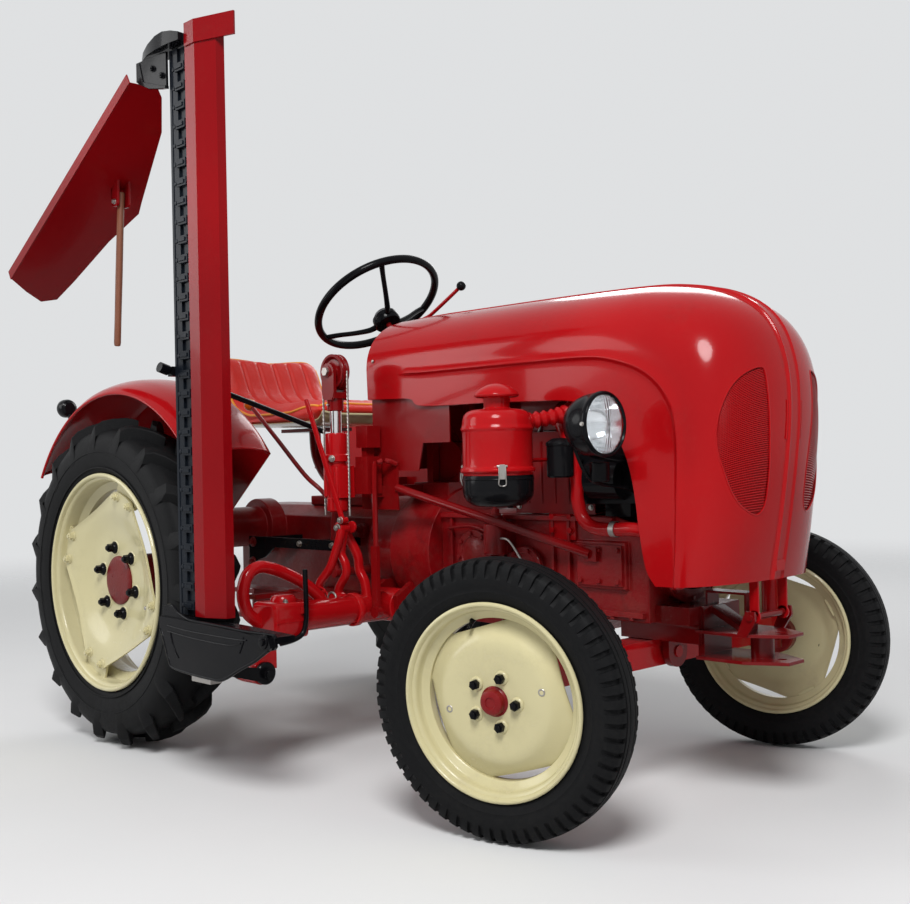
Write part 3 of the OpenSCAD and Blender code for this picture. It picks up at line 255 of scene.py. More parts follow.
def wooden(name):
    g = Graph(name)
    rings = g.noise(30.0, 5, 0.6, stretch=(1.0, 1.0, 0.07), distortion=0.5)
    fine = g.noise(190.0, 3, stretch=(1.0, 1.0, 0.05))
    tone = g.mix(g.step(rings, 0.35, 0.68), (0.17, 0.050, 0.018), (0.075, 0.020, 0.008))
    tone = g.mix(g.step(fine, 0.55, 0.75) * 0.5, tone, (0.05, 0.018, 0.009))
    return g.surface({"Base Color": tone, "Roughness": 0.5 + fine * 0.2,
                      "Normal": g.bump(fine + rings, 0.0007)})


def glass(name):
    """Pressed lamp glass. Its flutes are in the mesh."""
    g = Graph(name)
    smudge = g.step(g.noise(14.0, 5, 0.7), 0.5, 0.8)
    tone = g.mix(smudge * 0.3, (0.93, 0.95, 0.97), (0.80, 0.79, 0.74))
    return g.surface({"Base Color": tone, "Roughness": 0.03 + smudge * 0.06,
                      "Transmission Weight": 1.0, "IOR": 1.46,
                      "Normal": g.bump(g.noise(150.0, 2), 0.0002)})


def mirror_metal(name):
    g = Graph(name)
    haze = g.noise(30.0, 4)
    tone = g.mix(haze * 0.4, (0.92, 0.93, 0.94), (0.72, 0.72, 0.70))
    return g.surface({"Base Color": tone, "Metallic": 1.0, "Roughness": 0.09 + haze * 0.1})


# %% Table of finishes
LOOK = {
    "scarlet": painted("scarlet", (0.38, 0.004, 0.006), (0.30, 0.003, 0.005), gloss=0.15, dust=0.15,
                       coat=0.28, shine=0.1),
    # Painted shade: a much darker copy of the scarlet paint for the bar guard and the swath board, whose
    # faces sit in shadow
    "shadow_scarlet": painted("shadow_scarlet", (0.25, 0.003, 0.005), (0.19, 0.002, 0.004), gloss=0.18,
                            dust=0.1, coat=0.16, shine=0.08),
    # Painted shade: a darker copy of the scarlet paint for parts that sit in shadow, under the hood, the
    # fenders and the body
    "dark_scarlet": painted("dark_scarlet", (0.20, 0.003, 0.004), (0.13, 0.002, 0.003),
                            gloss=0.22, dust=0.15, grime=0.3, coat=0.2, shine=0.15),
    # Partly painted shade: the castings' red is darker than the sheet paint, both for their grime and for
    # the shadow under the hood
    "cast": cast_paint("cast", (0.24, 0.003, 0.005), (0.12, 0.002, 0.003)),
    "cream": painted("cream", (0.58, 0.53, 0.32), (0.52, 0.47, 0.27), gloss=0.22, dust=0.2,
                     grime=0.07, chip=(0.22, 0.11, 0.05)),
    "black_paint": painted("black_paint", (0.006, 0.006, 0.007), (0.003, 0.003, 0.004),
                           gloss=0.20, dust=0.03, grime=0.0, chip=(0.08, 0.06, 0.05),
                           coat=0.16, shine=0.05),
    "bar_blue": painted("bar_blue", (0.010, 0.013, 0.018), (0.006, 0.008, 0.012), gloss=0.34,
                        dust=0.04, grime=0.0, chip=(0.12, 0.06, 0.03), coat=0.12, shine=0.05),
    "tyre": rubber("tyre"),
    "chrome": steel("chrome", (0.80, 0.80, 0.80), 0.12, rust=0.05),
    "bare": steel("bare", (0.36, 0.34, 0.32), 0.34, rust=0.6),
    "cushion": vinyl("cushion", (0.60, 0.020, 0.012), (0.44, 0.012, 0.010)),
    "piping": vinyl("piping", (0.85, 0.33, 0.03), (0.74, 0.25, 0.03)),
    "lens": glass("lens"),
    "mirror": mirror_metal("mirror"),
    "wood": wooden("wood"),
    "orange": painted("orange", (0.80, 0.20, 0.02), (0.66, 0.13, 0.01), gloss=0.2, grime=0.1),
}
print("finishes:", ", ".join(LOOK))

# %% [markdown]
# ## Building shapes
#
# A `Shape` gathers points and faces. Its `at` matrix says where the next pieces go, and its
# `look` says which finish they get. `piece` then makes one object of it, merges the points,
# turns the normals outwards, softens the edges and hands it to the frame.

# %% Shape
def turn(axis, degrees):
    return Matrix.Rotation(math.radians(degrees), 4, axis)


def shift(x, y, z):
    return Matrix.Translation((x, y, z))


def aim(start, end):
    """A matrix that puts the origin at start and +Z along start to end."""
    start, end = Vector(start), Vector(end)
    return Matrix.Translation(start) @ (end - start).to_track_quat("Z", "Y").to_matrix().to_4x4()


def polar(r, degrees):
    return r * math.cos(math.radians(degrees)), r * math.sin(math.radians(degrees))


def arc(cx, cy, r, a0, a1, n):
    """Points on an arc, in degrees."""
    points = [polar(r, a0 + (a1 - a0) * k / n) for k in range(n + 1)]
    return [(cx + x, cy + y) for x, y in points]


def circle(cx, cy, r, n):
    return arc(cx, cy, r, 0, 360, n)[:-1]


def hexagon(r, turned_by=0.0):
    return [polar(r, 60 * k + turned_by) for k in range(6)]


def between(a, b, c, d, f):
    """The smooth curve from row b to row c at the fraction f. a and d are the rows beside them."""
    square = 2 * a - 5 * b + 4 * c - d
    cube = 3 * b - a - 3 * c + d
    return 0.5 * (2 * b + (c - a) * f + square * f * f + cube * f ** 3)


def smooth_rows(rows, steps):
    """A table with smooth rows added between its rows."""
    t = np.array(rows, float)
    out = []
    for i in range(len(t) - 1):
        a, b, c, d = t[max(0, i - 1)], t[i], t[i + 1], t[min(len(t) - 1, i + 2)]
        out += [between(a, b, c, d, k / steps) for k in range(steps)]
    return np.array(out + [t[-1]])


# Turns an outline in x and z into one in x and y
SWAP_YZ = Matrix(((1, 0, 0, 0), (0, 0, 1, 0), (0, 1, 0, 0), (0, 0, 0, 1)))


# %% The Shape class
class Shape:
    def __init__(self, *looks):
        self.looks = list(looks)
        self.look = 0
        self.at = Matrix.Identity(4)
        self.points, self.faces, self.face_looks = [], [], []

    def home(self):
        """What comes next is placed in the layout's own frame again."""
        self.at = Matrix.Identity(4)

    def add(self, points, faces):
        n = len(self.points)
        self.points += [self.at @ Vector(p) for p in points]
        self.faces += [[n + i for i in f] for f in faces]
        self.face_looks += [self.look] * len(faces)
        return self

    def sides(self):
        """Also gives a mirrored copy of all that is there, across the middle."""
        n = len(self.points)
        self.points += [Vector((p.x, -p.y, p.z)) for p in self.points]
        self.faces += [[n + i for i in reversed(f)] for f in self.faces]
        self.face_looks += self.face_looks
        return self

    def box(self, low, high):
        (a, b, c), (d, e, f) = low, high
        return self.add([(a, b, c), (d, b, c), (d, e, c), (a, e, c), (a, b, f), (d, b, f), (d, e, f),
            (a, e, f)], [(3, 2, 1, 0), (4, 5, 6, 7), (0, 1, 5, 4), (1, 2, 6, 5), (2, 3, 7, 6),
            (3, 0, 4, 7)])

    def loft(self, rings, closed=False, caps=True):
        """Skin over rings of points. closed joins the last ring to the first."""
        n, m = len(rings), len(rings[0])
        faces = []
        for i in range(n if closed else n - 1):
            j = (i + 1) % n
            faces += [(i * m + k, i * m + (k + 1) % m, j * m + (k + 1) % m, j * m + k) for k in range(m)]
        if caps and not closed:
            faces += [tuple(range(m - 1, -1, -1)), tuple((n - 1) * m + k for k in range(m))]
        return self.add([p for ring in rings for p in ring], faces)

    def lathe(self, outline, segments=64, start=0.0, angle=360.0):
        """A closed outline of (radius, height) points turned round +Z."""
        full = abs(angle - 360.0) < 1e-6
        count = segments if full else segments + 1
        rings = []
        for k in range(count):
            a = math.radians(start + angle * k / segments)
            rings.append([(r * math.cos(a), r * math.sin(a), z) for r, z in outline])
        return self.loft(rings, closed=full)

    def turned(self, profile, segments=48):
        """A solid of revolution round +Z. The profile starts and ends on the axis."""
        inner = [p for p in profile if p[0] > 1e-9]
        n = len(inner)
        points = [(0, 0, profile[0][1]), (0, 0, profile[-1][1])]
        for k in range(segments):
            a = 2 * math.pi * k / segments
            points += [(r * math.cos(a), r * math.sin(a), z) for r, z in inner]
        faces = []
        for k in range(segments):
            a, b = 2 + k * n, 2 + (k + 1) % segments * n
            faces += [(0, b, a), (1, a + n - 1, b + n - 1)]
            faces += [(a + i, b + i, b + i + 1, a + i + 1) for i in range(n - 1)]
        return self.add(points, faces)

    def drum(self, r, low, high, segments=40, edge=0.0):
        """A cylinder round +Z with rounded edges."""
        if edge:
            profile = [(0, low), *[(r - edge + x, low + edge + y) for x, y in arc(0, 0, edge, -90, 0, 4)],
                       *[(r - edge + x, high - edge + y) for x, y in arc(0, 0, edge, 0, 90, 4)], (0, high)]
        else:
            profile = [(0, low), (r, low), (r, high), (0, high)]
        return self.turned(profile, segments)

    def prism(self, outline, low, high):
        """An outline in x and y, from height low to high."""
        n = len(outline)
        points = [(x, y, low) for x, y in outline] + [(x, y, high) for x, y in outline]
        faces = [tuple(range(n - 1, -1, -1)), tuple(range(n, 2 * n))]
        faces += [(k, (k + 1) % n, n + (k + 1) % n, n + k) for k in range(n)]
        return self.add(points, faces)

    def slab(self, outline, y0, y1):
        """An outline in x and z, from y0 to y1."""
        at = self.at
        self.at = at @ SWAP_YZ
        self.prism(outline, y0, y1)
        self.at = at
        return self

    def tube(self, path, r, sides=14, steps=6, ref=(0, 1, 0), closed=False):
        """A round bar along a smooth path. r may be one radius or one for each path point."""
        radii = [r] * len(path) if np.isscalar(r) else r
        rows = smooth_rows([(*p, q) for p, q in zip(path, radii)], steps) if steps > 1 else \
            np.array([(*p, q) for p, q in zip(path, radii)], float)
        rings = []
        for i, row in enumerate(rows):
            if closed:
                t = rows[(i + 1) % len(rows)][:3] - rows[i - 1][:3]
            else:
                t = rows[min(len(rows) - 1, i + 1)][:3] - rows[max(0, i - 1)][:3]
            u = np.cross(ref, t)
            u /= np.linalg.norm(u)
            v = np.cross(t, u)
            v /= np.linalg.norm(v)
            rings.append([tuple(row[:3] + row[3] * (math.cos(a) * u + math.sin(a) * v))
                          for a in np.linspace(0, 2 * math.pi, sides, endpoint=False)])
        return self.loft(rings, closed=closed)

    def rod(self, start, end, r, sides=20):
        at = self.at
        self.at = at @ aim(start, end)
        self.drum(r, 0, (Vector(end) - Vector(start)).length, sides, min(1.2, r * 0.2))
        self.at = at
        return self

    def ball(self, centre, r, segments=24):
        at = self.at
        self.at = at @ shift(*centre)
        self.turned([(0, -r), *arc(0, 0, r, -80, 80, 12), (0, r)], segments)
        self.at = at
        return self

    def hex_bolt(self, start, direction, r, washer=True, stud=0.0):
        """A hexagon head at start that stands out along direction."""
        at = self.at
        start = Vector(start)
        self.at = at @ aim(start, start + Vector(direction))
        if washer:
            self.drum(r * 1.28, -0.5, r * 0.2, 20)
        h = r * 0.2 + r * 0.85
        self.prism(hexagon(r, 11), 0, h)
        if stud:
            self.drum(r * 0.5, 0, h + stud, 12)
        self.at = at
        return self


# %% Finished pieces
def to_frame(p):
    return (Vector(p) - ORIGIN) * MM


def finish_mesh(mesh, sharp=34.0):
    """Merges points, turns normals outwards and smooths all but the sharp edges."""
    work = bmesh.new()
    work.from_mesh(mesh)
    bmesh.ops.remove_doubles(work, verts=work.verts, dist=2e-6)
    bmesh.ops.dissolve_degenerate(work, edges=work.edges, dist=1e-7)
    bmesh.ops.recalc_face_normals(work, faces=work.faces)
    work.to_mesh(mesh)
    work.free()
    mesh.polygons.foreach_set("use_smooth", [True] * len(mesh.polygons))
    mesh.set_sharp_from_angle(angle=math.radians(sharp))


def link(obj):
    bpy.context.scene.collection.objects.link(obj)
    return obj


def soften(obj, width, segments=2):
    """Rounds the sharp edges a little, so that they catch the light."""
    bevel = obj.modifiers.new("Edges", "BEVEL")
    bevel.width = width * MM
    bevel.segments = segments
    bevel.limit_method = "ANGLE"
    bevel.angle_limit = math.radians(34)
    bevel.use_clamp_overlap = True
    bevel.harden_normals = True


MADE = []


def piece(name, shape, body, replaces=(), edge=0.0, sharp=34.0, rounds=2):
    """One finished piece of the tractor from a Shape."""
    mesh = bpy.data.meshes.new(name)
    mesh.from_pydata([to_frame(p) for p in shape.points], [], shape.faces)
    for look in shape.looks:
        mesh.materials.append(LOOK[look])
    mesh.polygons.foreach_set("material_index", shape.face_looks)
    finish_mesh(mesh, sharp)
    obj = link(bpy.data.objects.new(name, mesh))
    if edge:
        soften(obj, edge, rounds)
    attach(obj, body)
    if replaces:
        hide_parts(*([replaces] if isinstance(replaces, str) else replaces))
    MADE.append(name)
    print(f"{name}: {len(mesh.polygons)} faces on {body}")
    return obj


def softened(node, look, body, edge=2.0):
    """A CAD node's own shape, merged and with rounded edges, shown in its place."""
    mesh = frame["nodes"][node].data.copy()
    mesh.materials.clear()
    mesh.materials.append(LOOK[look])
    work = bmesh.new()
    work.from_mesh(mesh)
    bmesh.ops.remove_doubles(work, verts=work.verts, dist=1e-5)
    bmesh.ops.dissolve_limit(work, angle_limit=math.radians(1.0), verts=work.verts, edges=work.edges)
    work.to_mesh(mesh)
    work.free()
    mesh.polygons.foreach_set("material_index", [0] * len(mesh.polygons))
    finish_mesh(mesh)
    obj = link(bpy.data.objects.new(node + "_shown", mesh))
    if edge:
        soften(obj, edge)
    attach(obj, body)
    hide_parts(node)
    MADE.append(obj.name)
    print(f"{obj.name}: {len(mesh.polygons)} faces on {body}")
    return obj


# %% [markdown]
# ## One tree for everything that repeats
#
# Tyre lugs, the bolts along the sump, the mower's fingers and the knife's blades are all one
# thing: a shape, copied a number of times with a step and a turn between the copies. An array
# modifier could do one row; this Geometry Nodes tree does them all. Its inputs are named, and
# its small wobble comes from a fixed seed.

# %% Repeater
def repeater_tree():
    tree = bpy.data.node_groups.new("Repeat", "GeometryNodeTree")
    face = tree.interface
    face.new_socket("Geometry", in_out="INPUT", socket_type="NodeSocketGeometry")
    for name, kind in (("Count", "Int"), ("Step", "Vector"), ("Turn", "Vector"), ("Wobble", "Float"),
                       ("Seed", "Int"), ("Finish", "Material")):
        face.new_socket(name, in_out="INPUT", socket_type="NodeSocket" + kind)
    face.new_socket("Geometry", in_out="OUTPUT", socket_type="NodeSocketGeometry")

    def node(kind, settings=None, inputs=None):
        made = tree.nodes.new(kind)
        for key, value in (settings or {}).items():
            setattr(made, key, value)
        for key, value in (inputs or {}).items():
            if isinstance(value, bpy.types.NodeSocket):
                tree.links.new(value, made.inputs[key])
            else:
                made.inputs[key].default_value = value
        return made

    given = node("NodeGroupInput").outputs
    index = node("GeometryNodeInputIndex").outputs[0]
    place = node("ShaderNodeVectorMath", {"operation": "SCALE"},
                 {0: given["Step"], "Scale": index}).outputs[0]
    angle = node("ShaderNodeVectorMath", {"operation": "SCALE"},
                 {0: given["Turn"], "Scale": index}).outputs[0]
    jitter = node("FunctionNodeRandomValue", {"data_type": "FLOAT_VECTOR"}, {
        "Min": (-1.0, -1.0, -1.0), "Max": (1.0, 1.0, 1.0), "ID": index, "Seed": given["Seed"]}).outputs[0]
    wobble = node("ShaderNodeVectorMath", {"operation": "SCALE"},
                 {0: jitter, "Scale": given["Wobble"]}).outputs[0]
    angle = node("ShaderNodeVectorMath", {"operation": "ADD"}, {0: angle, 1: wobble}).outputs[0]
    points = node("GeometryNodePoints", None, {"Count": given["Count"], "Position": place}).outputs[0]
    copies = node("GeometryNodeInstanceOnPoints", None, {
        "Points": points, "Instance": given["Geometry"], "Rotation": angle}).outputs[0]
    real = node("GeometryNodeRealizeInstances", None, {0: copies}).outputs[0]
    done = node("GeometryNodeSetMaterial", None, {"Geometry": real, "Material": given["Finish"]}).outputs[0]
    node("NodeGroupOutput", None, {"Geometry": done})
    return tree


REPEAT = repeater_tree()
REPEAT_KEYS = {item.name: item.identifier for item in REPEAT.interface.items_tree if item.in_out == "INPUT"}


def repeat(shape, count, look, step=(0, 0, 0), turn_by=(0, 0, 0), wobble=0.0, seed=7):
    """Copies of a small Shape, as (points, faces) that a bigger Shape can take in."""
    mesh = bpy.data.meshes.new("unit")
    mesh.from_pydata(shape.points, [], shape.faces)
    obj = link(bpy.data.objects.new("unit", mesh))
    modifier = obj.modifiers.new("Repeat", "NODES")
    modifier.node_group = REPEAT
    for name, value in (("Count", count), ("Step", step), ("Turn", [math.radians(a) for a in turn_by]),
                        ("Wobble", math.radians(wobble)), ("Seed", seed), ("Finish", LOOK[look])):
        modifier[REPEAT_KEYS[name]] = value
    graph = bpy.context.evaluated_depsgraph_get()
    made = bpy.data.meshes.new_from_object(obj.evaluated_get(graph))
    points = [tuple(v.co) for v in made.vertices]
    faces = [tuple(p.vertices) for p in made.polygons]
    bpy.data.objects.remove(obj)
    bpy.data.meshes.remove(mesh)
    bpy.data.meshes.remove(made)
    return points, faces


print("repeater inputs:", ", ".join(REPEAT_KEYS))

# %% [markdown]
# ## Wheels
#
# A wheel is built in its own frame, with +Z pointing away from the tractor, and then set in
# place by a matrix. Each front wheel stands on its joint's axis, so the turn and the lean of
# the parked wheels come from the frame.

# %% Wheel frames
def wheel_matrix(joint, side):
    axis = Vector(JOINT[joint]["axis"]).normalized()
    if axis.y * side < 0:
        axis = -axis
    across = axis.cross(Vector((0, 0, 1))).normalized()
    up = across.cross(axis)
    return Matrix.Translation(joint_at(joint)) @ Matrix((across, up, axis)).transposed().to_4x4()


SIDES = (("r", -1), ("l", 1))
REAR_RIM, REAR_RIM_H = 328.0, 82.0
FRONT_RIM, FRONT_RIM_H = 220.0, 42.0
for side, sign in SIDES:
    print("front wheel", side, "at", [round(v, 1) for v in wheel_matrix(f"front_wheel_{side}_spin",
        sign).translation])

# %% [markdown]
# The rear tyre has a smooth carcass and tall chevron lugs that start near the middle and sweep
# out over the shoulder. One lug of each hand is built and then repeated round the wheel.

# %% Rear tyres
CARCASS = [(REAR_RIM - 12, 62), (REAR_RIM - 8, 76), (REAR_RIM + 2, 82), (REAR_RIM + 10, 86),
    (REAR_RIM + 14, 89), (REAR_RIM + 22, 91), (372, 97), (400, 99.5), (428, 98), (448, 92), (461, 80),
    (469, 58), (473, 30), (474, 0)]


def rear_carcass_r(y):
    """Radius of the carcass at a distance from the tyre's middle."""
    crown = [p for p in CARCASS if p[0] >= 428]
    ys, rs = [p[1] for p in reversed(crown)], [p[0] for p in reversed(crown)]
    return float(np.interp(abs(y), ys, rs))


def lug(hand):
    """One lug: a bar with sloping flanks that sweeps from the middle to the shoulder."""
    shape = Shape("tyre")
    sections = [  # distance from the middle, sweep in degrees, top half width, foot half width, height
        (6, 0.0, 12, 19, 26), (26, 3.6, 13.5, 20, 30), (50, 7.8, 15, 22, 30), (72, 11.4, 18, 25, 29.5),
        (88, 13.6, 21, 28, 26), (97, 14.6, 22, 29, 12), (99, 15.0, 22, 28, -8), (98.5, 15.3, 19, 25, -30)]
    rings = []
    for k, (y, sweep, top, foot, height) in enumerate(sections):
        base_r = rear_carcass_r(min(y, 96)) - (0 if y <= 96 else (y - 96) * 5)
        r_top = base_r + height
        stand = 3.5 if height < 0 else 0.0
        lean = math.radians(32 if k < 5 else 12)
        ring = []
        for u, w, r in ((-1, foot, -7), (-1, top, 0), (-0.82, top, 2.2), (0.82, top, 2.2), (1, top, 0),
                (1, foot, -7)):
            rr = (r_top + r - 2.2) if r >= 0 else min(base_r, r_top) + r
            if height < 0:
                rr = r_top
            off = u * w
            a = math.radians(sweep) + off * math.cos(lean) / 470.0
            yy = y - off * math.sin(lean) * (0.7 if k else 0.2)
            yy = min(yy + (stand if r >= 0 else -stand), 99.6)
            ring.append((rr * math.cos(a), rr * math.sin(a), hand * yy))
        rings.append(ring)
    shape.loft(rings)
    return shape


LUGS = 19
lugs_up = repeat(lug(1), LUGS, "tyre", turn_by=(0, 0, 360 / LUGS), wobble=0.05)
lugs_down = repeat(lug(-1), LUGS, "tyre", turn_by=(0, 0, 360 / LUGS), wobble=0.05, seed=8)
for side, sign in SIDES:
    tyre = Shape("tyre")
    tyre.at = wheel_matrix(f"rear_wheel_{side}_spin", sign)
    carcass = [(r, -y) for r, y in CARCASS[:-1]] + [(r, y) for r, y in reversed(CARCASS)]
    tyre.lathe(carcass, 128)
    # Two raised lines round each sidewall
    for y_sign in (-1, 1):
        tyre.lathe([(350 + x, y_sign * (93.5 + z)) for x, z in circle(0, 0, 2.6, 8)], 128)
        tyre.lathe([(398 + x, y_sign * (99.2 + z)) for x, z in circle(0, 0, 1.8, 8)], 128)
    # The inner ends of the lugs meet the ground first on both sides
    if sign < 0:
        tyre.at = tyre.at @ Matrix.Scale(-1, 4, (1, 0, 0))
    tyre.at = tyre.at @ turn("Z", -90)
    tyre.add(*lugs_up)
    tyre.at = tyre.at @ turn("Z", 180 / LUGS)
    tyre.add(*lugs_down)
    made = piece(f"rear_tyre_{side}_shown", tyre, f"rear_wheel_{side}", f"rear_tyre_{side}", sharp=28)
print("rear tyre:", len(made.data.polygons), "faces,", LUGS, "lugs a side")

# %% [markdown]
# The front tyre has ribs that run round its middle and notches cut in each shoulder. It is one
# lathe whose outline changes with the angle, so the notches are real.

# %% Front tyres
def front_outline(notch):
    """Half of the section, from the bead to the middle. notch is how deep the shoulder is cut."""
    return [(208.5, 24), (210, 33), (216, 38.5), (222, 41), (228, 44.5), (236, 48), (244, 50),
        (247, 51.5), (250, 50.9), (258, 53.5), (268, 55.6), (277, 55.8), (284, 55.3 - notch * 0.6),
        (294, 53.2 - notch), (303, 50 - notch), (309 - notch * 0.8, 46 - notch * 0.5),
        (312.8 - notch, 40), (314.6 - notch, 33), (315.6 - notch, 29.4), (315.8, 28.6), (309.5, 27.6),
        (309.3, 24.4), (316.6, 23.4), (317.4, 18), (317.6, 14.2), (311, 13.4), (311, 11.0),
        (317.8, 10.2), (318.4, 5)]


NOTCHES = 62
# One notch and the block beside it: how deep it is cut, and where, as a share of the pitch
NOTCH_CUTS = (0.0, 0.0, 1.0, 1.0, 0.0, 0.0)
NOTCH_PLACES = (0.0, 0.56, 0.60, 0.92, 0.96, 0.99)
NOTCH_DEPTH = 7.5
for side, sign in SIDES:
    tyre = Shape("tyre")
    tyre.at = wheel_matrix(f"front_wheel_{side}_spin", sign)
    rings = []
    for k in range(NOTCHES):
        for cut, at in zip(NOTCH_CUTS, NOTCH_PLACES):
            a = math.radians(360 * (k + at) / NOTCHES)
            half = front_outline(cut * NOTCH_DEPTH)
            out = [(r * math.cos(a), r * math.sin(a), y) for r, y in half]
            other = [(r * math.cos(a), r * math.sin(a), -y) for r, y in reversed(half)]
            rings.append(out + other)
    tyre.loft(rings, closed=True)
    made = piece(f"front_tyre_{side}_shown", tyre, f"front_wheel_{side}", f"front_tyre_{side}", sharp=30)
print("front tyre:", len(made.data.polygons), "faces,", NOTCHES, "notches a side")

# %% [markdown]
# The rims are rolled rings with a rounded lip. Each disc is a polar sheet: its height follows a
# profile and its outer edge is cut by four chords, which leaves the slots by the ring.

# %% Rims
def rim_ring(shape, r, h, well, t):
    """A rolled ring: lip, bead seat, side of the well, well, and back the same way inside."""
    lip = t * 1.35
    outer = [(r - 1, h + 0.2), (r - 8, h - 2), (r - 11.5, h - 7), (r - 12.6, h - 13), (r - 14.5, h * 0.52),
             (r - 16.5, h * 0.47), (r - 14 - well, h * 0.33), (r - 16 - well, h * 0.27)]
    mouth = arc(r - 1.2, h + 0.2 + lip, lip, -90, 150, 7)
    inner = [(r - 9, h + 0.5), (r - 13, h - 1.5), (r - 15.6 - t * 0.2, h - 6),
        (r - 16.4 - t * 0.2, h - 13), (r - 17.5 - t * 0.4, h * 0.50), (r - 19.5 - t * 0.4, h * 0.44),
        (r - 17.5 - well - t * 0.6, h * 0.30), (r - 19.5 - well - t * 0.6, h * 0.24)]
    half = outer[::-1] + mouth + inner
    whole = half + [(x, -y) for x, y in reversed(half)]
    shape.lathe(whole, 128)


def disc(shape, profile, t, flat, turned_by, outer, segments=144, rings=22, lip=0.0):
    """A pressed disc whose edge is cut by four chords at the distance flat from the middle."""
    radii_p, heights_p = [p[0] for p in profile], [p[1] for p in profile]
    top, low = [], []
    for k in range(segments):
        a = math.radians(360 * k / segments)
        nearest = min(abs((math.degrees(a) - turned_by - 90 * q + 180) % 360 - 180) for q in range(4))
        limit = min(outer, flat / max(0.2, math.cos(math.radians(nearest))))
        top.append([])
        low.append([])
        for i in range(rings + 1):
            r = limit * (i / rings) ** 0.8
            z = float(np.interp(r, radii_p, heights_p))
            # The cut edges are turned in a little
            z -= lip * max(0.0, 1 - (limit - r) / 9.0) ** 2 if limit < outer - 0.5 else 0.0
            top[-1].append((r * math.cos(a), r * math.sin(a), z))
            low[-1].append((r * math.cos(a), r * math.sin(a), z - t))
    points = [p for ray in top for p in ray] + [p for ray in low for p in ray]
    n, m = segments, rings + 1
    faces = []
    for k in range(n):
        j = (k + 1) % n
        for i in range(rings):
            a, b, c, d = k * m + i, k * m + i + 1, j * m + i + 1, j * m + i
            faces += [(a, b, c, d), (n * m + d, n * m + c, n * m + b, n * m + a)]
        faces.append((k * m + rings, n * m + k * m + rings, n * m + j * m + rings, j * m + rings))
    shape.add(points, faces)


def smooth_profile(points, steps=5):
    return [tuple(row) for row in smooth_rows(points, steps)]


SLOT_TURN = -16.0
REAR_TURN = -24.0
FRONT_DOME = smooth_profile([(0, 30), (60, 30), (110, 30.5), (128, 29.5), (140, 26), (150, 20),
    (160, 14), (170, 9), (185, 2)])
REAR_DISH = smooth_profile([(0, 30), (90, 30), (130, 31), (160, 36), (190, 47), (215, 57), (240, 63.5),
    (262, 67), (300, 69)])

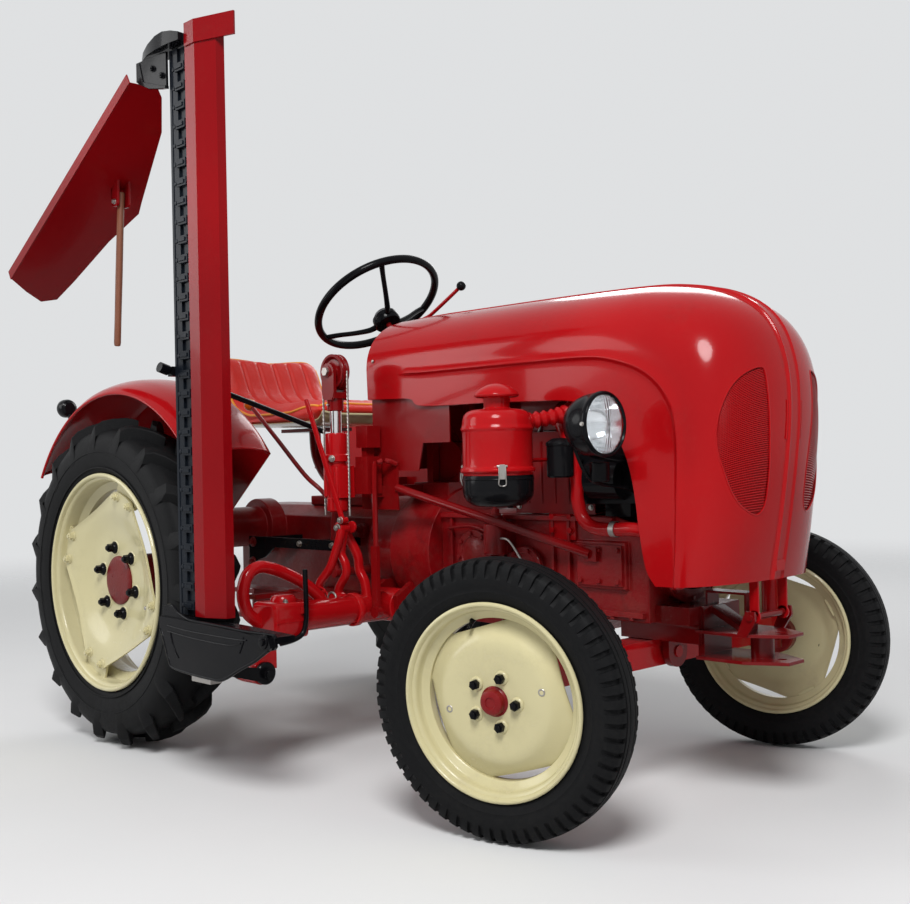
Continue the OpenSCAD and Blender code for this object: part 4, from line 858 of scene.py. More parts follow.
for side, sign in SIDES:
    rim = Shape("cream", "cast", "black_paint", "bare")
    rim.at = wheel_matrix(f"front_wheel_{side}_spin", sign)
    base = rim.at
    rim_ring(rim, FRONT_RIM, FRONT_RIM_H, 15, 4)
    # The disc's four feet on the ring
    disc(rim, FRONT_DOME, 4, 166, SLOT_TURN, 184, lip=3.5)
    for q in range(4):
        rim.at = base @ turn("Z", SLOT_TURN + 45 + 90 * q)
        rim.prism([(176, -26), (188, -24), (188, 24), (176, 26)], -9, -4)
    # Two small holes, shown as dark plugs in a raised edge: the plugs' black is painted shade in place of
    # the open holes
    for a in (166, -13):
        rim.at = base @ turn("Z", a) @ shift(122, 0, 29.8)
        rim.look = 3
        rim.lathe([(5, -2), (8, -2), (8.6, 0.6), (7.6, 1.4), (5, 0.9)], 24)
        rim.look = 2
        rim.drum(5.4, -3.5, -0.6, 20)
    rim.look = 0
    rim.at = base
    # Hub behind the disc and its red cap
    rim.look = 1
    rim.turned([(0, 25), (50, 25), (52, 22), (52, -15), (48, -20), (0, -20)], 56)
    rim.turned([(0, 29), (34, 29), (34.5, 31), (31, 33), (29, 35), (28.5, 44), (26.5, 48), (22, 50.5),
        (13, 51), (12, 49), (0, 48.5)], 56)
    for q in range(5):
        rim.at = base @ turn("Z", 38.7 + 72 * q) @ shift(57, 0, 30)
        rim.look = 0
        rim.turned([(0, 4.5), (13, 4.5), (15.5, 2.8), (17, 0), (17, -2), (0, -2)], 28)
        rim.look = 2
        rim.prism(hexagon(11.5, 10 * q), 2, 16)
        rim.drum(6.5, 15, 20, 18, 1.2)
    # Valve
    rim.at = base @ turn("Z", 71 if sign < 0 else 109) @ shift(188, 0, 4)
    rim.look = 2
    rim.at = rim.at @ turn("Y", -30)
    rim.turned([(0, -4), (7.5, -4), (8, 4), (6, 12), (4.6, 16), (5.2, 18), (5.2, 33), (3.5, 36),
        (0, 36)], 18)
    piece(f"front_rim_{side}_shown", rim, f"front_wheel_{side}", f"front_rim_{side}", edge=0.8,
        rounds=1)

    rim = Shape("cream", "cast", "black_paint", "bare")
    rim.at = wheel_matrix(f"rear_wheel_{side}_spin", sign)
    base = rim.at
    rim_ring(rim, REAR_RIM, REAR_RIM_H, 24, 5)
    disc(rim, REAR_DISH, 7, 232, REAR_TURN, 281, lip=-4)
    # Brackets on the ring with pairs of bolts at the disc's corners
    for q in range(4):
        corner = base @ turn("Z", REAR_TURN + 45 + 90 * q)
        rim.at = corner
        rim.look = 0
        rim.box((256, -58, 52), (311, 58, 59))
        rim.box((304, -58, 34), (311, 58, 59))
        for s in (-1, 1):
            rim.at = corner @ shift(263, 40 * s, 66)
            rim.drum(16, -3, 3.5, 28, 1.5)
            rim.hex_bolt((0, 0, 3.5), (0, 0, 1), 11.5, True, 4)
            rim.hex_bolt((0, 0, -14), (0, 0, -1), 11.5, False, 4)
    rim.at = base
    # Wheel hub: its flat red face shows through the disc's middle
    rim.look = 1
    rim.turned([(0, 38.5), (60, 38.5), (70, 37.5), (75, 34), (76, 20), (76, -90), (70, -96), (0, -96)], 72)
    for a in (20, 140, 260):
        rim.at = base @ turn("Z", a) @ shift(34, 0, 38.4)
        rim.drum(3.2, -1, 1.0, 16, 0.6)
    # Black cone nuts
    for q in range(6):
        rim.at = base @ turn("Z", 17 + 60 * q) @ shift(103, 0, 29.5)
        rim.look = 0
        rim.turned([(0, 3.5), (19, 3.5), (22, 2), (23, 0), (23, -2), (0, -2)], 32)
        rim.look = 2
        rim.turned([(0, 3), (19, 3), (19.5, 5), (16, 9), (13, 13), (12.6, 15), (0, 15)], 28)
        rim.prism(hexagon(12.8), 12, 27)
        rim.drum(7.5, 26, 33, 18, 1.5)
    # Small rivet and the valve
    rim.at = base @ turn("Z", 200) @ shift(205, 0, 53)
    rim.look = 3
    rim.drum(6, -2, 3.5, 18, 1.5)
    rim.at = base @ turn("Z", 128) @ shift(283, 0, 10) @ turn("Y", -35)
    rim.look = 2
    rim.turned([(0, -4), (8, -4), (8, 6), (5, 14), (5.2, 34), (3.5, 37), (0, 37)], 18)
    piece(f"rear_rim_{side}_shown", rim, f"rear_wheel_{side}", f"rear_rim_{side}", edge=0.8,
        rounds=1)
print("rims done")

# %% [markdown]
# ## Hood
#
# The skin runs over a table of rows from the dash to the foot of the nose. Each row gives the
# crest, the side rib and the lower edge. A superellipse joins crest and rib, and smooth rows
# are added between. Subdivision would round the crisp beads away, so they are in the formula.

# %% Hood skin
# Each row: crest x, crest z, rib x, rib z, edge x, edge z
HOOD_ROWS = [(660, 1288, 672, 1108, 675, 1037), (790, 1291, 790, 1108, 790, 1034),
    (870, 1291, 870, 1108, 862, 1030), (930, 1291, 930, 1108, 914, 1008),
    (1180, 1291, 1180, 1108, 1180, 1005), (1340, 1290, 1340, 1108, 1330, 1001),
    (1523, 1287, 1500, 1107, 1438, 997), (1640, 1279, 1580, 1099, 1520, 978),
    (1752, 1256, 1672, 1072, 1580, 930), (1840, 1214, 1732, 1032, 1612, 880),
    (1894, 1155, 1768, 980, 1632, 830), (1924, 1070, 1780, 925, 1644, 780),
    (1932, 970, 1783, 860, 1652, 730), (1922, 850, 1780, 780, 1658, 682),
    (1900, 700, 1774, 670, 1676, 590), (1874, 556, 1764, 550, 1703, 549)]
HOOD_HALF, HOOD_BULGE = 250.0, 2.3
ROWS = smooth_rows(HOOD_ROWS, 9)


def ridge(y, s):
    """Height of the raised band at a distance from the middle: a flat strip between two beads."""
    half = 23 - 3 * min(1.0, max(0.0, (s - 8) / 6))
    a = abs(y)
    if a > half + 7:
        return 0.0
    rise = min(1.0, (half + 7 - a) / 8.0)
    flat = 3.2 * rise * rise * (3 - 2 * rise)
    bead = 4.6 * math.exp(-((a - half) / 3.4) ** 2)
    return flat + bead


def rib(f, s):
    """Height of the bead along the side. It fades in at the rear."""
    fade = min(1.0, max(0.0, (s - 1.3) / 0.5))
    return 6.5 * fade * math.exp(-(f / 0.052) ** 2)


def hood_top(row, s, y, deep=0.0):
    w, f = HOOD_HALF - deep, min(1.0, abs(y) / HOOD_HALF)
    up = np.array([row[0] - row[2], row[1] - row[3]])
    length = np.linalg.norm(up)
    lift = (length - deep + (0 if deep else ridge(y, s))) * (1 - f ** HOOD_BULGE) ** (1 / HOOD_BULGE)
    p = np.array([row[2], row[3]]) + up / length * lift
    return (p[0], math.copysign(f * w, y) if y else 0.0, p[1])


def hood_section(row, s, deep=0.0):
    """All points across one row, from the right lower edge over the crest to the left one."""
    half = []
    for f in (1.0, 0.985, 0.9, 0.7, 0.45, 0.25, 0.16, 0.11, 0.085, 0.065, 0.05, 0.035, 0.02, 0.008):
        out = HOOD_HALF - deep + (0 if deep else rib(f - 0.035, s))
        out -= 5.0 if f == 1.0 and not deep else 0.0
        half.append((row[2] + (row[4] - row[2]) * f, out, row[3] + (row[5] - row[3]) * f))
    for y in (249.5, 248.5, 247, 244, 240, 234, 226, 216, 204, 190, 174, 156, 136, 114, 92, 72, 54, 42,
            36, 31, 28, 26, 24.5, 23, 21.5, 20, 18, 15, 11, 6):
        half.append(hood_top(row, s, y, deep))
    right = [(x, -y, z) for x, y, z in half]
    return right + [hood_top(row, s, 0, deep)] + [p for p in reversed(half)]


WALL = 3.2
outer = [hood_section(r, k / 9) for k, r in enumerate(ROWS)]
inner = [hood_section(r, k / 9, WALL) for k, r in enumerate(ROWS)]
skin = Shape("scarlet", "dark_scarlet")
n_rows, n_cols = len(outer), len(outer[0])
grid = [p for row in outer for p in row] + [p for row in inner for p in row]
half_n = n_rows * n_cols
quads = []
for i in range(n_rows - 1):
    for j in range(n_cols - 1):
        a, b, c, d = i * n_cols + j, i * n_cols + j + 1, (i + 1) * n_cols + j + 1, (i + 1) * n_cols + j
        quads += [(a, b, c, d), (half_n + d, half_n + c, half_n + b, half_n + a)]
for i in range(n_rows - 1):
    for j in (0, n_cols - 1):
        a, b = i * n_cols + j, (i + 1) * n_cols + j
        quads.append((a, b, half_n + b, half_n + a))
for j in range(n_cols - 1):
    for i in (0, n_rows - 1):
        a, b = i * n_cols + j, i * n_cols + j + 1
        quads.append((a, b, half_n + b, half_n + a))
skin.add(grid, quads)

# %% [markdown]
# The openings are two half-moons in the nose. Their outline is given on the skin itself, as a
# row and a distance from the middle, and one boolean on each side cuts it through the sheet.

# %% Nose openings
MOON = [(13.88, 121), (13.86, 98), (13.70, 84), (13.30, 82), (12.82, 87), (12.25, 94), (11.60, 99),
    (11.15, 102), (11.04, 112), (11.02, 132), (11.05, 161), (11.12, 180), (11.25, 196), (11.45, 208),
    (11.72, 217), (12.00, 221), (12.27, 222), (12.70, 217), (13.15, 203), (13.45, 187), (13.70, 162)]


def nose_surface(s, y, deep=0.0):
    """A point of the nose: at row s, at the distance y from the middle, and deep mm under the skin."""
    i = min(int(s), len(HOOD_ROWS) - 2)
    rows = np.array(HOOD_ROWS, float)
    row = between(rows[max(0, i - 1)], rows[i], rows[i + 1], rows[min(len(rows) - 1, i + 2)], s - i)
    return np.array(hood_top(row, s, y, deep))


def closed_curve(points, steps):
    """A smooth closed curve through points."""
    n = len(points)
    rows = smooth_rows([points[(k - 1) % n] for k in range(n + 3)], steps)
    return rows[steps:steps * (n + 1)]


moon = closed_curve(MOON, 4)


def moon_span(value, axis):
    """Where the line at value along one axis of the half-moon enters and leaves it."""
    hits = []
    for p, q in zip(moon, np.roll(moon, -1, axis=0)):
        if (p[axis] - value) * (q[axis] - value) < 0:
            f = (value - p[axis]) / (q[axis] - p[axis])
            hits.append(p[1 - axis] + f * (q[1 - axis] - p[1 - axis]))
    return (min(hits), max(hits)) if len(hits) > 1 else None


hood_obj = piece("hood_skin", skin, "hood", ("hood", "grilles"), sharp=50)
for sign in (-1, 1):
    outline = [nose_surface(s, sign * y) for s, y in moon]
    cutter = Shape("scarlet")
    front, back = [], []
    for p in outline:
        out = np.array((1.0, sign * 0.45, 0.0)) / 1.1
        front.append(tuple(p + out * 26))
        back.append(tuple(p - out * 26))
    cutter.loft([front, back])
    mesh = bpy.data.meshes.new("cutter")
    mesh.from_pydata([to_frame(p) for p in cutter.points], [], cutter.faces)
    finish_mesh(mesh)
    tool = link(bpy.data.objects.new("cutter", mesh))
    boolean = hood_obj.modifiers.new("Moon", "BOOLEAN")
    boolean.operation, boolean.object, boolean.solver = "DIFFERENCE", tool, "EXACT"
    bpy.context.view_layer.update()
    cut = bpy.data.meshes.new_from_object(hood_obj.evaluated_get(bpy.context.evaluated_depsgraph_get()))
    hood_obj.modifiers.remove(boolean)
    old, hood_obj.data = hood_obj.data, cut
    bpy.data.meshes.remove(old)
    bpy.data.objects.remove(tool)
cut.name = "hood_skin"
cut.polygons.foreach_set("use_smooth", [True] * len(cut.polygons))
cut.set_sharp_from_angle(angle=math.radians(50))
print("hood skin:", len(cut.polygons), "faces")

# %% [markdown]
# Each opening holds a woven screen. A texture would look flat from the side, so its wires
# are real, thin four-sided tubes, with one thin sheet behind them.

# %% Nose screens
screen = Shape("scarlet", "dark_scarlet")
WIRE = 1.35
for sign in (-1, 1):
    # Wires from side to side, about 5 mm apart
    for s in np.linspace(11.04, 13.86, 70):
        span = moon_span(s, 0)
        if span is None or span[1] - span[0] < 8:
            continue
        n = max(3, int((span[1] - span[0]) / 11))
        path = [nose_surface(s, sign * y, 3.4) for y in np.linspace(span[0] - 3, span[1] + 3, n + 1)]
        screen.tube([tuple(p) for p in path], WIRE, sides=4, steps=1, ref=(0.3, 0.1, 1))
    # Upright wires
    for y in np.linspace(84, 220, 30):
        span = moon_span(y, 1)
        if span is None or span[1] - span[0] < 0.1:
            continue
        n = max(4, int((span[1] - span[0]) / 0.09))
        path = [nose_surface(s, sign * y, 5.2) for s in np.linspace(span[0], span[1], n + 1)]
        screen.tube([tuple(p) for p in path], WIRE, sides=4, steps=1, ref=(0, 1, 0.05))
    # Perforated sheet behind the wires, in the darker red that paints the shade behind the screen
    rings = []
    for s in np.linspace(min(p[0] for p in moon) + 0.02, max(p[0] for p in moon) - 0.02, 26):
        span = moon_span(s, 0)
        ys = np.linspace(span[0] - 4, span[1] + 4, 9)
        front = [tuple(nose_surface(s, sign * y, 8.5)) for y in ys]
        back = [tuple(nose_surface(s, sign * y, 10.0)) for y in ys[::-1]]
        rings.append(front + back)
    screen.look = 1
    screen.loft(rings)
    screen.look = 0
    # Rolled edge round the opening
    edge_path = [tuple(nose_surface(s, sign * y, 0.8)) for s, y in moon]
    screen.tube(edge_path, 2.2, sides=8, steps=1, ref=(1, 0.35 * sign, 0.1), closed=True)
piece("nose_screens", screen, "hood")

# %% [markdown]
# Small things on the hood: two hinge straps at its foot, the tab at the foot of the ridge, two
# short strips beside the ridge and a rivet near each rear corner.

# %% Hood details
trim = Shape("scarlet", "black_paint", "bare")
for y in (60, -66):
    trim.box((1841, y, 470), (1865, y + 6, 640))
    trim.box((1841, y, 600), (1880, y + 6, 640))
    trim.at = shift(1853, y + 3, 470) @ turn("X", 90)
    trim.lathe([(8.3, -3), (16, -3), (16, 3), (8.3, 3)], 32)
    trim.home()
# Tab at the foot of the ridge
foot = nose_surface(14.7, 0)
trim.box((foot[0] - 6, -19, foot[2] - 12), (foot[0] + 4.5, 19, foot[2] + 14))
# Short strips on the ridge beside the middle
for y in (-31, 31):
    p, q = nose_surface(12.7, y), nose_surface(11.9, y)
    trim.tube([tuple(p + (1.5, 0, 0)), tuple((p + q) / 2 + (2.5, 0, 0)), tuple(q + (1.5, 0, 0))], 2.2,
        sides=8)
# Rivets near the rear corners
trim.look = 2
for s in (-1, 1):
    trim.at = shift(700, s * 249, 1150) @ turn("X", -90 * s)
    trim.drum(4.5, -2, 2.4, 20, 1.2)
trim.home()
piece("hood_trim", trim, "hood", edge=0.8)

# %% [markdown]
# ## Fenders
#
# Each fender is one section turned round the axle: an inner plate, a rounded shoulder, a
# gentle crown and a rolled outer lip.

# %% Fenders
FENDER_R, FENDER_IN, FENDER_OUT, FENDER_START, FENDER_END = 625.0, 450.0, 720.0, 39.5, 146.5


def fender_section(t=4.0):
    crown = smooth_profile([(FENDER_R - 26, FENDER_IN), (FENDER_R - 15, FENDER_IN + 16),
        (FENDER_R - 8, FENDER_IN + 40), (FENDER_R, FENDER_IN + 110), (FENDER_R - 4, FENDER_IN + 180),
        (FENDER_R - 14, FENDER_OUT - 50), (FENDER_R - 26, FENDER_OUT - 22),
        (FENDER_R - 38, FENDER_OUT - 8), (FENDER_R - 45, FENDER_OUT - 3)], 4)
    lip = [(FENDER_R - 47 + x, FENDER_OUT - 4.6 + y) for x, y in arc(0, 0, 4.6, 60, 250, 8)]
    inside = [(r - t * 0.9, y - t * 0.5) for r, y in reversed(crown[2:])]
    return [(240, FENDER_IN), (FENDER_R - 34, FENDER_IN), *crown, *lip, *inside,
        (FENDER_R - 34, FENDER_IN + t), (240, FENDER_IN + t)]


fender = Shape("scarlet", "dark_scarlet", "bare")
fender.at = shift(0, 0, 504) @ SWAP_YZ
fender.lathe(fender_section(), 96, FENDER_START, FENDER_END - FENDER_START)
# A rolled bead along the front and rear edges
for a in (FENDER_START + 0.35, FENDER_END - 0.35):
    c, s = polar(1, a)
    edge_line = [(r * c, r * s, y) for r, y in smooth_profile([(FENDER_R - 30, FENDER_IN + 3),
        (FENDER_R - 12, FENDER_IN + 40), (FENDER_R - 3.5, FENDER_IN + 110),
        (FENDER_R - 8, FENDER_IN + 180), (FENDER_R - 30, FENDER_OUT - 22),
        (FENDER_R - 47, FENDER_OUT - 5)], 4)]
    fender.tube(edge_line, 4.2, sides=10, steps=1, ref=(0, 0.2, 1))
# Pressed stiffening bead along the inner plate, and the bolts that hold it
fender.lathe(circle(560, FENDER_IN - 0.5, 4.0, 10), 64, FENDER_START + 4, FENDER_END - FENDER_START - 8)
fender.home()
for x, z in ((-45, 690), (45, 690), (-45, 765), (45, 765), (0, 780)):
    fender.look = 2
    fender.hex_bolt((x, FENDER_IN + 4, z), (0, 1, 0), 9)
# Two blocks under the fender, in the darker red of painted shade
fender.look = 1
fender.box((-60, 400, 735), (60, 452, 795))
fender.box((-60, 444, 645), (60, 452, 740))
fender.sides()
piece("fenders_shown", fender, "chassis", "fenders", sharp=40)

# %% [markdown]
# A tail lamp is a small round can on a stalk that stands out of the fender, with a red lens
# to the rear. Both are solids of revolution; one is built and mirrored.

# %% Tail lamps
lamps = Shape("black_paint", "scarlet", "bare")
lamps.at = shift(0, 690, 504) @ turn("Y", -32)
lamps.drum(7, 604, 640, 18, 1)
# The lens looks to the rear
lamps.at = lamps.at @ shift(0, 0, 645) @ turn("Y", -58)
lamps.turned([(0, -21), (18, -21), (27, -14), (30, -4), (30, 14), (28.5, 17), (26, 18), (0, 18)], 36)
lamps.look = 1
lamps.turned([(0, 17), (25.5, 17), (25, 22), (16, 26), (0, 27)], 36)
lamps.look = 0
lamps.home()
lamps.sides()
piece("tail_lamps_shown", lamps, "chassis", "tail_lamps")

# %% [markdown]
# ## Seat
#
# The cushion is a closed pad that is filled with air in a short cloth simulation. Its piping
# and its channels are added to the settled shape. The pan is a bent cream sheet below it.

# %% Seat pan
SEAT_W = 220.0
pan = Shape("cream", "dark_scarlet", "bare")
pan_line = smooth_profile([(402, 1008), (392, 994), (366, 982.5), (300, 979), (120, 979), (-60, 982),
    (-100, 990), (-142, 1008), (-175, 1078), (-205, 1149)], 5)
rings = []
for k in range(25):
    v = -1 + k / 12
    w = (SEAT_W - 10) * v
    rise = 9 * abs(v) ** 5
    line = [(x, w * (1 - 0.06 * ((i / len(pan_line)) ** 3)), z + rise) for i, (x, z) in enumerate(pan_line)]
    rings.append(line + [(x, y, z - 3.0) for x, y, z in reversed(line)])
pan.loft(rings)
pan.tube([(402, -205, 1017), (404, -150, 1009), (404, 0, 1008), (404, 150, 1009), (402, 205, 1017)],
    4.5, sides=10, ref=(0, 0, 1))
for x in (60, 190):
    for y in (-40, 40):
        pan.look = 2
        pan.hex_bolt((x, y, 972), (0, 0, -1), 9)
piece("seat_pan_shown", pan, "chassis", "seat_pan", edge=0.6)

# %% Seat cushion
CUSHION_BASE = 985.3
MIDDLE_X = [-205, -165, -130, -70, 0, 120, 300, 400]
FRAMES, MOST_MM = 20, 11.0


def cushion_form(scale=1.0):
    """Rings across the seat of its side outline, with rounded ends."""
    low = [(398, 1012), (372, 992), (300, CUSHION_BASE), (120, CUSHION_BASE), (-60, CUSHION_BASE + 1),
        (-100, CUSHION_BASE + 12), (-139, 1017), (-172, 1082), (-204, 1158)]
    top = [(-200, 1216), (-168, 1222), (-140, 1180), (-108, 1110), (-70, 1072), (0, 1050), (120, 1045),
        (250, 1046), (350, 1047), (392, 1040), (404, 1024)]
    outline = [tuple(p) for p in smooth_rows(low + top + [low[0]], 3)][:-1]
    cx = sum(p[0] for p in outline) / len(outline)
    rings = []
    for v in np.linspace(-1, 1, 33):
        f = (1 - abs(v) ** 9) ** (1 / 3.0) if abs(v) < 1 else 0.0
        f = max(0.30, f)
        ring = []
        for x, z in outline:
            # The middle line of the pad at this x, towards which its thickness shrinks
            mid = float(np.interp(x, MIDDLE_X, [1188, 1150, 1092, 1035, 1017, 1014, 1015, 1022]))
            ring.append((x if abs(v) < 0.93 else x * (1 - 0.02 * (abs(v) - 0.93) / 0.07),
                (SEAT_W - 3) * v, mid + (z - mid) * f))
        rings.append(ring)
    shape = Shape("cushion")
    shape.loft(rings)
    return shape


form = cushion_form()
mesh = bpy.data.meshes.new("seat_cushion_shown")
mesh.from_pydata([to_frame(p) for p in form.points], [], form.faces)
mesh.materials.append(LOOK["cushion"])
finish_mesh(mesh, 60)
cushion = link(bpy.data.objects.new("seat_cushion_shown", mesh))
remesh = cushion.modifiers.new("Remesh", "REMESH")
remesh.mode, remesh.voxel_size = "VOXEL", 0.006
bpy.context.view_layer.update()
even = bpy.data.meshes.new_from_object(cushion.evaluated_get(bpy.context.evaluated_depsgraph_get()))
cushion.modifiers.remove(remesh)
cushion.data = even
rest_points = np.array([v.co for v in even.vertices])

# The underside and the rear edge are held on the pan
held = cushion.vertex_groups.new(name="held")
for v in even.vertices:
    x = v.co.x / MM + ORIGIN.x
    z = v.co.z / MM
    pan_z = float(np.interp(x, [p[0] for p in reversed(pan_line)], [p[1] for p in reversed(pan_line)]))
    if z < pan_z + 16 or x > 396:
        held.add([v.index], 1.0, "REPLACE")
cloth = cushion.modifiers.new("Cloth", "CLOTH")
cloth.settings.quality = 6
cloth.settings.use_pressure = True
cloth.settings.uniform_pressure_force = 4.0
cloth.settings.vertex_group_mass = "held"
cloth.settings.effector_weights.gravity = 0.0
cloth.settings.tension_stiffness = cloth.settings.compression_stiffness = 28.0
cloth.settings.bending_stiffness = 2.5
cloth.collision_settings.use_collision = False
cloth.point_cache.frame_start, cloth.point_cache.frame_end = 1, FRAMES
for f in range(1, FRAMES + 1):
    bpy.context.scene.frame_set(f)
blown = bpy.data.meshes.new_from_object(cushion.evaluated_get(bpy.context.evaluated_depsgraph_get()))
cushion.modifiers.remove(cloth)
cushion.data = blown
moved = np.array([v.co for v in blown.vertices]) - rest_points
length = np.linalg.norm(moved, axis=1, keepdims=True)
moved *= np.minimum(1.0, MOST_MM * MM / np.maximum(length, 1e-9))
blown.vertices.foreach_set("co", (rest_points + moved).ravel())
bpy.context.scene.frame_set(1)
print("cushion moved by up to", round(float(length.max()) * 1000, 1), "mm, capped at", MOST_MM)

# %% [markdown]
# The pad is pressed in along five seams from front to back: a formula moves its points along
# their normals. The piping runs round its edge, where rays from above meet the pad.

# %% Cushion channels and piping
CHANNELS = (-132, -66, 0, 66, 132)


def press(mesh, strength=7.5):
    co = np.array([v.co for v in mesh.vertices])
    y = co[:, 1] / MM + ORIGIN.y
    x = co[:, 0] / MM + ORIGIN.x
    z = co[:, 2] / MM
    mid = np.interp(x, MIDDLE_X, [1200, 1165, 1110, 1045, 1022, 1018, 1018, 1024])
    on_top = np.clip((z - mid) / 12, 0, 1) * np.clip((np.minimum(x + 190, 372 - x)) / 26, 0, 1)
    deep = sum(np.exp(-((y - c) / 5.0) ** 2) for c in CHANNELS)
    normals = np.array([v.normal for v in mesh.vertices])
    co -= normals * (deep * on_top * strength * MM)[:, None]
    mesh.vertices.foreach_set("co", co.ravel())


press(cushion.data)
settled = cushion.data
settled.polygons.foreach_set("use_smooth", [True] * len(settled.polygons))
settled.materials.clear()
settled.materials.append(LOOK["cushion"])
fine = cushion.modifiers.new("Fine", "SUBSURF")
fine.levels = fine.render_levels = 1
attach(cushion, "chassis")
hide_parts("seat_cushion")
MADE.append(cushion.name)

tree = BVHTree.FromPolygons([v.co for v in settled.vertices], [p.vertices for p in settled.polygons])


def on_pad(x, y, z=1400.0, way=(0, 0, -1), out=0.6):
    """The layout point where a ray meets the pad."""
    hit, normal, _, _ = tree.ray_cast(to_frame((x, y, z)), Vector(way))
    return None if hit is None else (hit + normal * out * MM) / MM + ORIGIN


piping = Shape("piping")
for side in (-1, 1):
    # Along each upper edge of the pad, from the front round to the top of the back
    line = [on_pad(x, side * (SEAT_W - 14), z) for x, z in [(x, 1400) for x in range(384, -190, -22)]]
    line = [tuple(p) for p in line if p is not None]
    piping.tube(line, 4.0, sides=10, steps=2)
front = [on_pad(386, y) for y in range(-204, 205, 17)]
front = [tuple(p) for p in front if p is not None]
piping.tube(front, 4.0, sides=10, steps=2, ref=(0, 0, 1))
back = [on_pad(-184, y) for y in range(-200, 201, 20)]
back = [tuple(p) for p in back if p is not None]
if len(back) > 3:
    piping.tube(back, 4.0, sides=10, steps=2, ref=(0, 0, 1))
piece("cushion_piping", piping, "chassis")
print("cushion:", len(settled.polygons), "faces before the fine level")

# %% [markdown]
# ## Castings and plates
#
# Plain solids keep their own shape and only get rounded edges and a finish. The table says
# which finish, which body and how much rounding each of them gets.

# %% Softened solids
# The darker scarlet finishes in this table are painted shade for parts that sit in shadow
for node, look, body, edge in (
        ("gearbox", "cast", "chassis", 7), ("clutch_housing", "cast", "chassis", 6),
        ("engine_block", "cast", "chassis", 5),
        ("cylinder", "cast", "chassis", 1), ("fan_housing", "black_paint", "chassis", 2.5),
        ("dash_cowl", "dark_scarlet", "chassis", 1.2), ("steering_column", "dark_scarlet", "chassis", 2),
        ("pedals", "cast", "chassis", 1.5), ("footboards", "dark_scarlet", "chassis", 1.5),
        ("seat_post", "dark_scarlet", "chassis", 2), ("front_support", "dark_scarlet", "chassis", 2),
        ("front_axle", "scarlet", "chassis", 3), ("lift_frame", "dark_scarlet", "chassis", 2.5),
        ("side_bracket", "black_paint", "chassis", 1.5), ("rear_drawbar", "cast", "chassis", 2),
        ("knuckle_r", "dark_scarlet", "knuckle_r", 2), ("knuckle_l", "dark_scarlet", "knuckle_l", 2),
        ("tie_rod", "scarlet", "tie_rod", 1), ("drag_link", "scarlet", "drag_link", 1),
        ("pitman_arm", "dark_scarlet", "pitman_arm", 2), ("bar_guard", "shadow_scarlet", "mower_bar", 1),
        ("stay_rod", "black_paint", "mower_bar", 1)):
    softened(node, look, body, edge)
# The side bracket's end widens into a gusset that two bolts hold
gusset = Shape("black_paint", "cast", "bare")
gusset.slab([(128, 500), (165, 500), (170, 546), (214, 556), (262, 588), (262, 596), (128, 596)],
    -304.5, -297.5)
for x, z in ((153, 604), (150, 540)):
    gusset.look = 1
    gusset.rod((x, -303, z), (x, -309, z), 16)
    gusset.hex_bolt((x, -309, z), (0, -1, 0), 9, False)
for x in (400, 560):
    gusset.look = 2
    gusset.hex_bolt((x, -304, 606), (0, -1, 0), 8)
piece("side_gusset", gusset, "chassis", edge=1.0)
print("softened solids; pieces so far:", len(MADE))

# %% [markdown]
# ## Engine
#
# Beside the block: covers with their bolts, ribs, the cooling shroud, oil and fuel lines, the
# air cleaner with its corrugated hose, and the exhaust.

# %% [markdown]
# At each end of the rear axle a case takes the drive down to the wheel, which gives the
# tractor its height. Two round covers and a block between them make the case.

# %% Final drives
# Portal cases at both ends of the rear axle, each with its shaft into the wheel
drives = Shape("cast", "bare")
CASE_R, CASE_Y, CASE_W, TOP_Z, WHEEL_Z = 84, 400, 60, 645, 504
for z in (TOP_Z, WHEEL_Z):
    drives.at = shift(0, CASE_Y, z) @ turn("X", -90)
    drives.turned([(0, 0), (CASE_R - 6, 0), (CASE_R, 6), (CASE_R, CASE_W - 8), (CASE_R - 8, CASE_W),
        (CASE_R - 26, CASE_W), (CASE_R - 30, CASE_W - 4), (0, CASE_W - 4)], 56)
    for q in range(8):
        drives.hex_bolt((*polar(CASE_R - 14, 45 * q + 22), CASE_W), (0, 0, 1), 7)
drives.home()
drives.box((-CASE_R, CASE_Y + 1, WHEEL_Z), (CASE_R, CASE_Y + CASE_W - 1, TOP_Z))
drives.at = shift(0, CASE_Y + CASE_W, WHEEL_Z) @ turn("X", -90)
drives.turned([(0, -6), (58, -6), (58, 34), (54, 40), (0, 40)], 48)
drives.turned([(0, 30), (30, 30), (30, 180), (0, 180)], 40)
drives.home()
drives.sides()
piece("final_drives_shown", drives, "chassis", "final_drives", edge=1.5)

# %% [markdown]
# The block's own solid stays. What makes it an engine is laid on its faces: covers, ribs,
# flanges, the pulleys with their belt, the pump and its pipes.

# %% Engine details
BLOCK_Y = -135.0
engine = Shape("cast", "black_paint", "bare", "scarlet")
for cx, cz, r, bolts in ((1010, 590, 66, 8), (1200, 560, 56, 6)):
    engine.at = shift(cx, BLOCK_Y - 12, cz) @ turn("X", 90)
    engine.look = 0
    engine.turned([(0, 7), (r * 0.45, 7), (r * 0.5, 5), (r * 0.72, 5), (r * 0.76, 8), (r, 8),
        (r + 3, 5), (r + 3, -4), (0, -4)], 56)
    for q in range(bolts):
        engine.hex_bolt((*polar(r * 0.88, 360 * q / bolts + 10), 8), (0, 0, 1), 6.5)
engine.home()
engine.look = 0
engine.box((1388, BLOCK_Y - 20, 528), (1532, BLOCK_Y - 12, 632))
for x in (1400, 1460, 1520):
    for z in (540, 620):
        engine.hex_bolt((x, BLOCK_Y - 20, z), (0, -1, 0), 7)
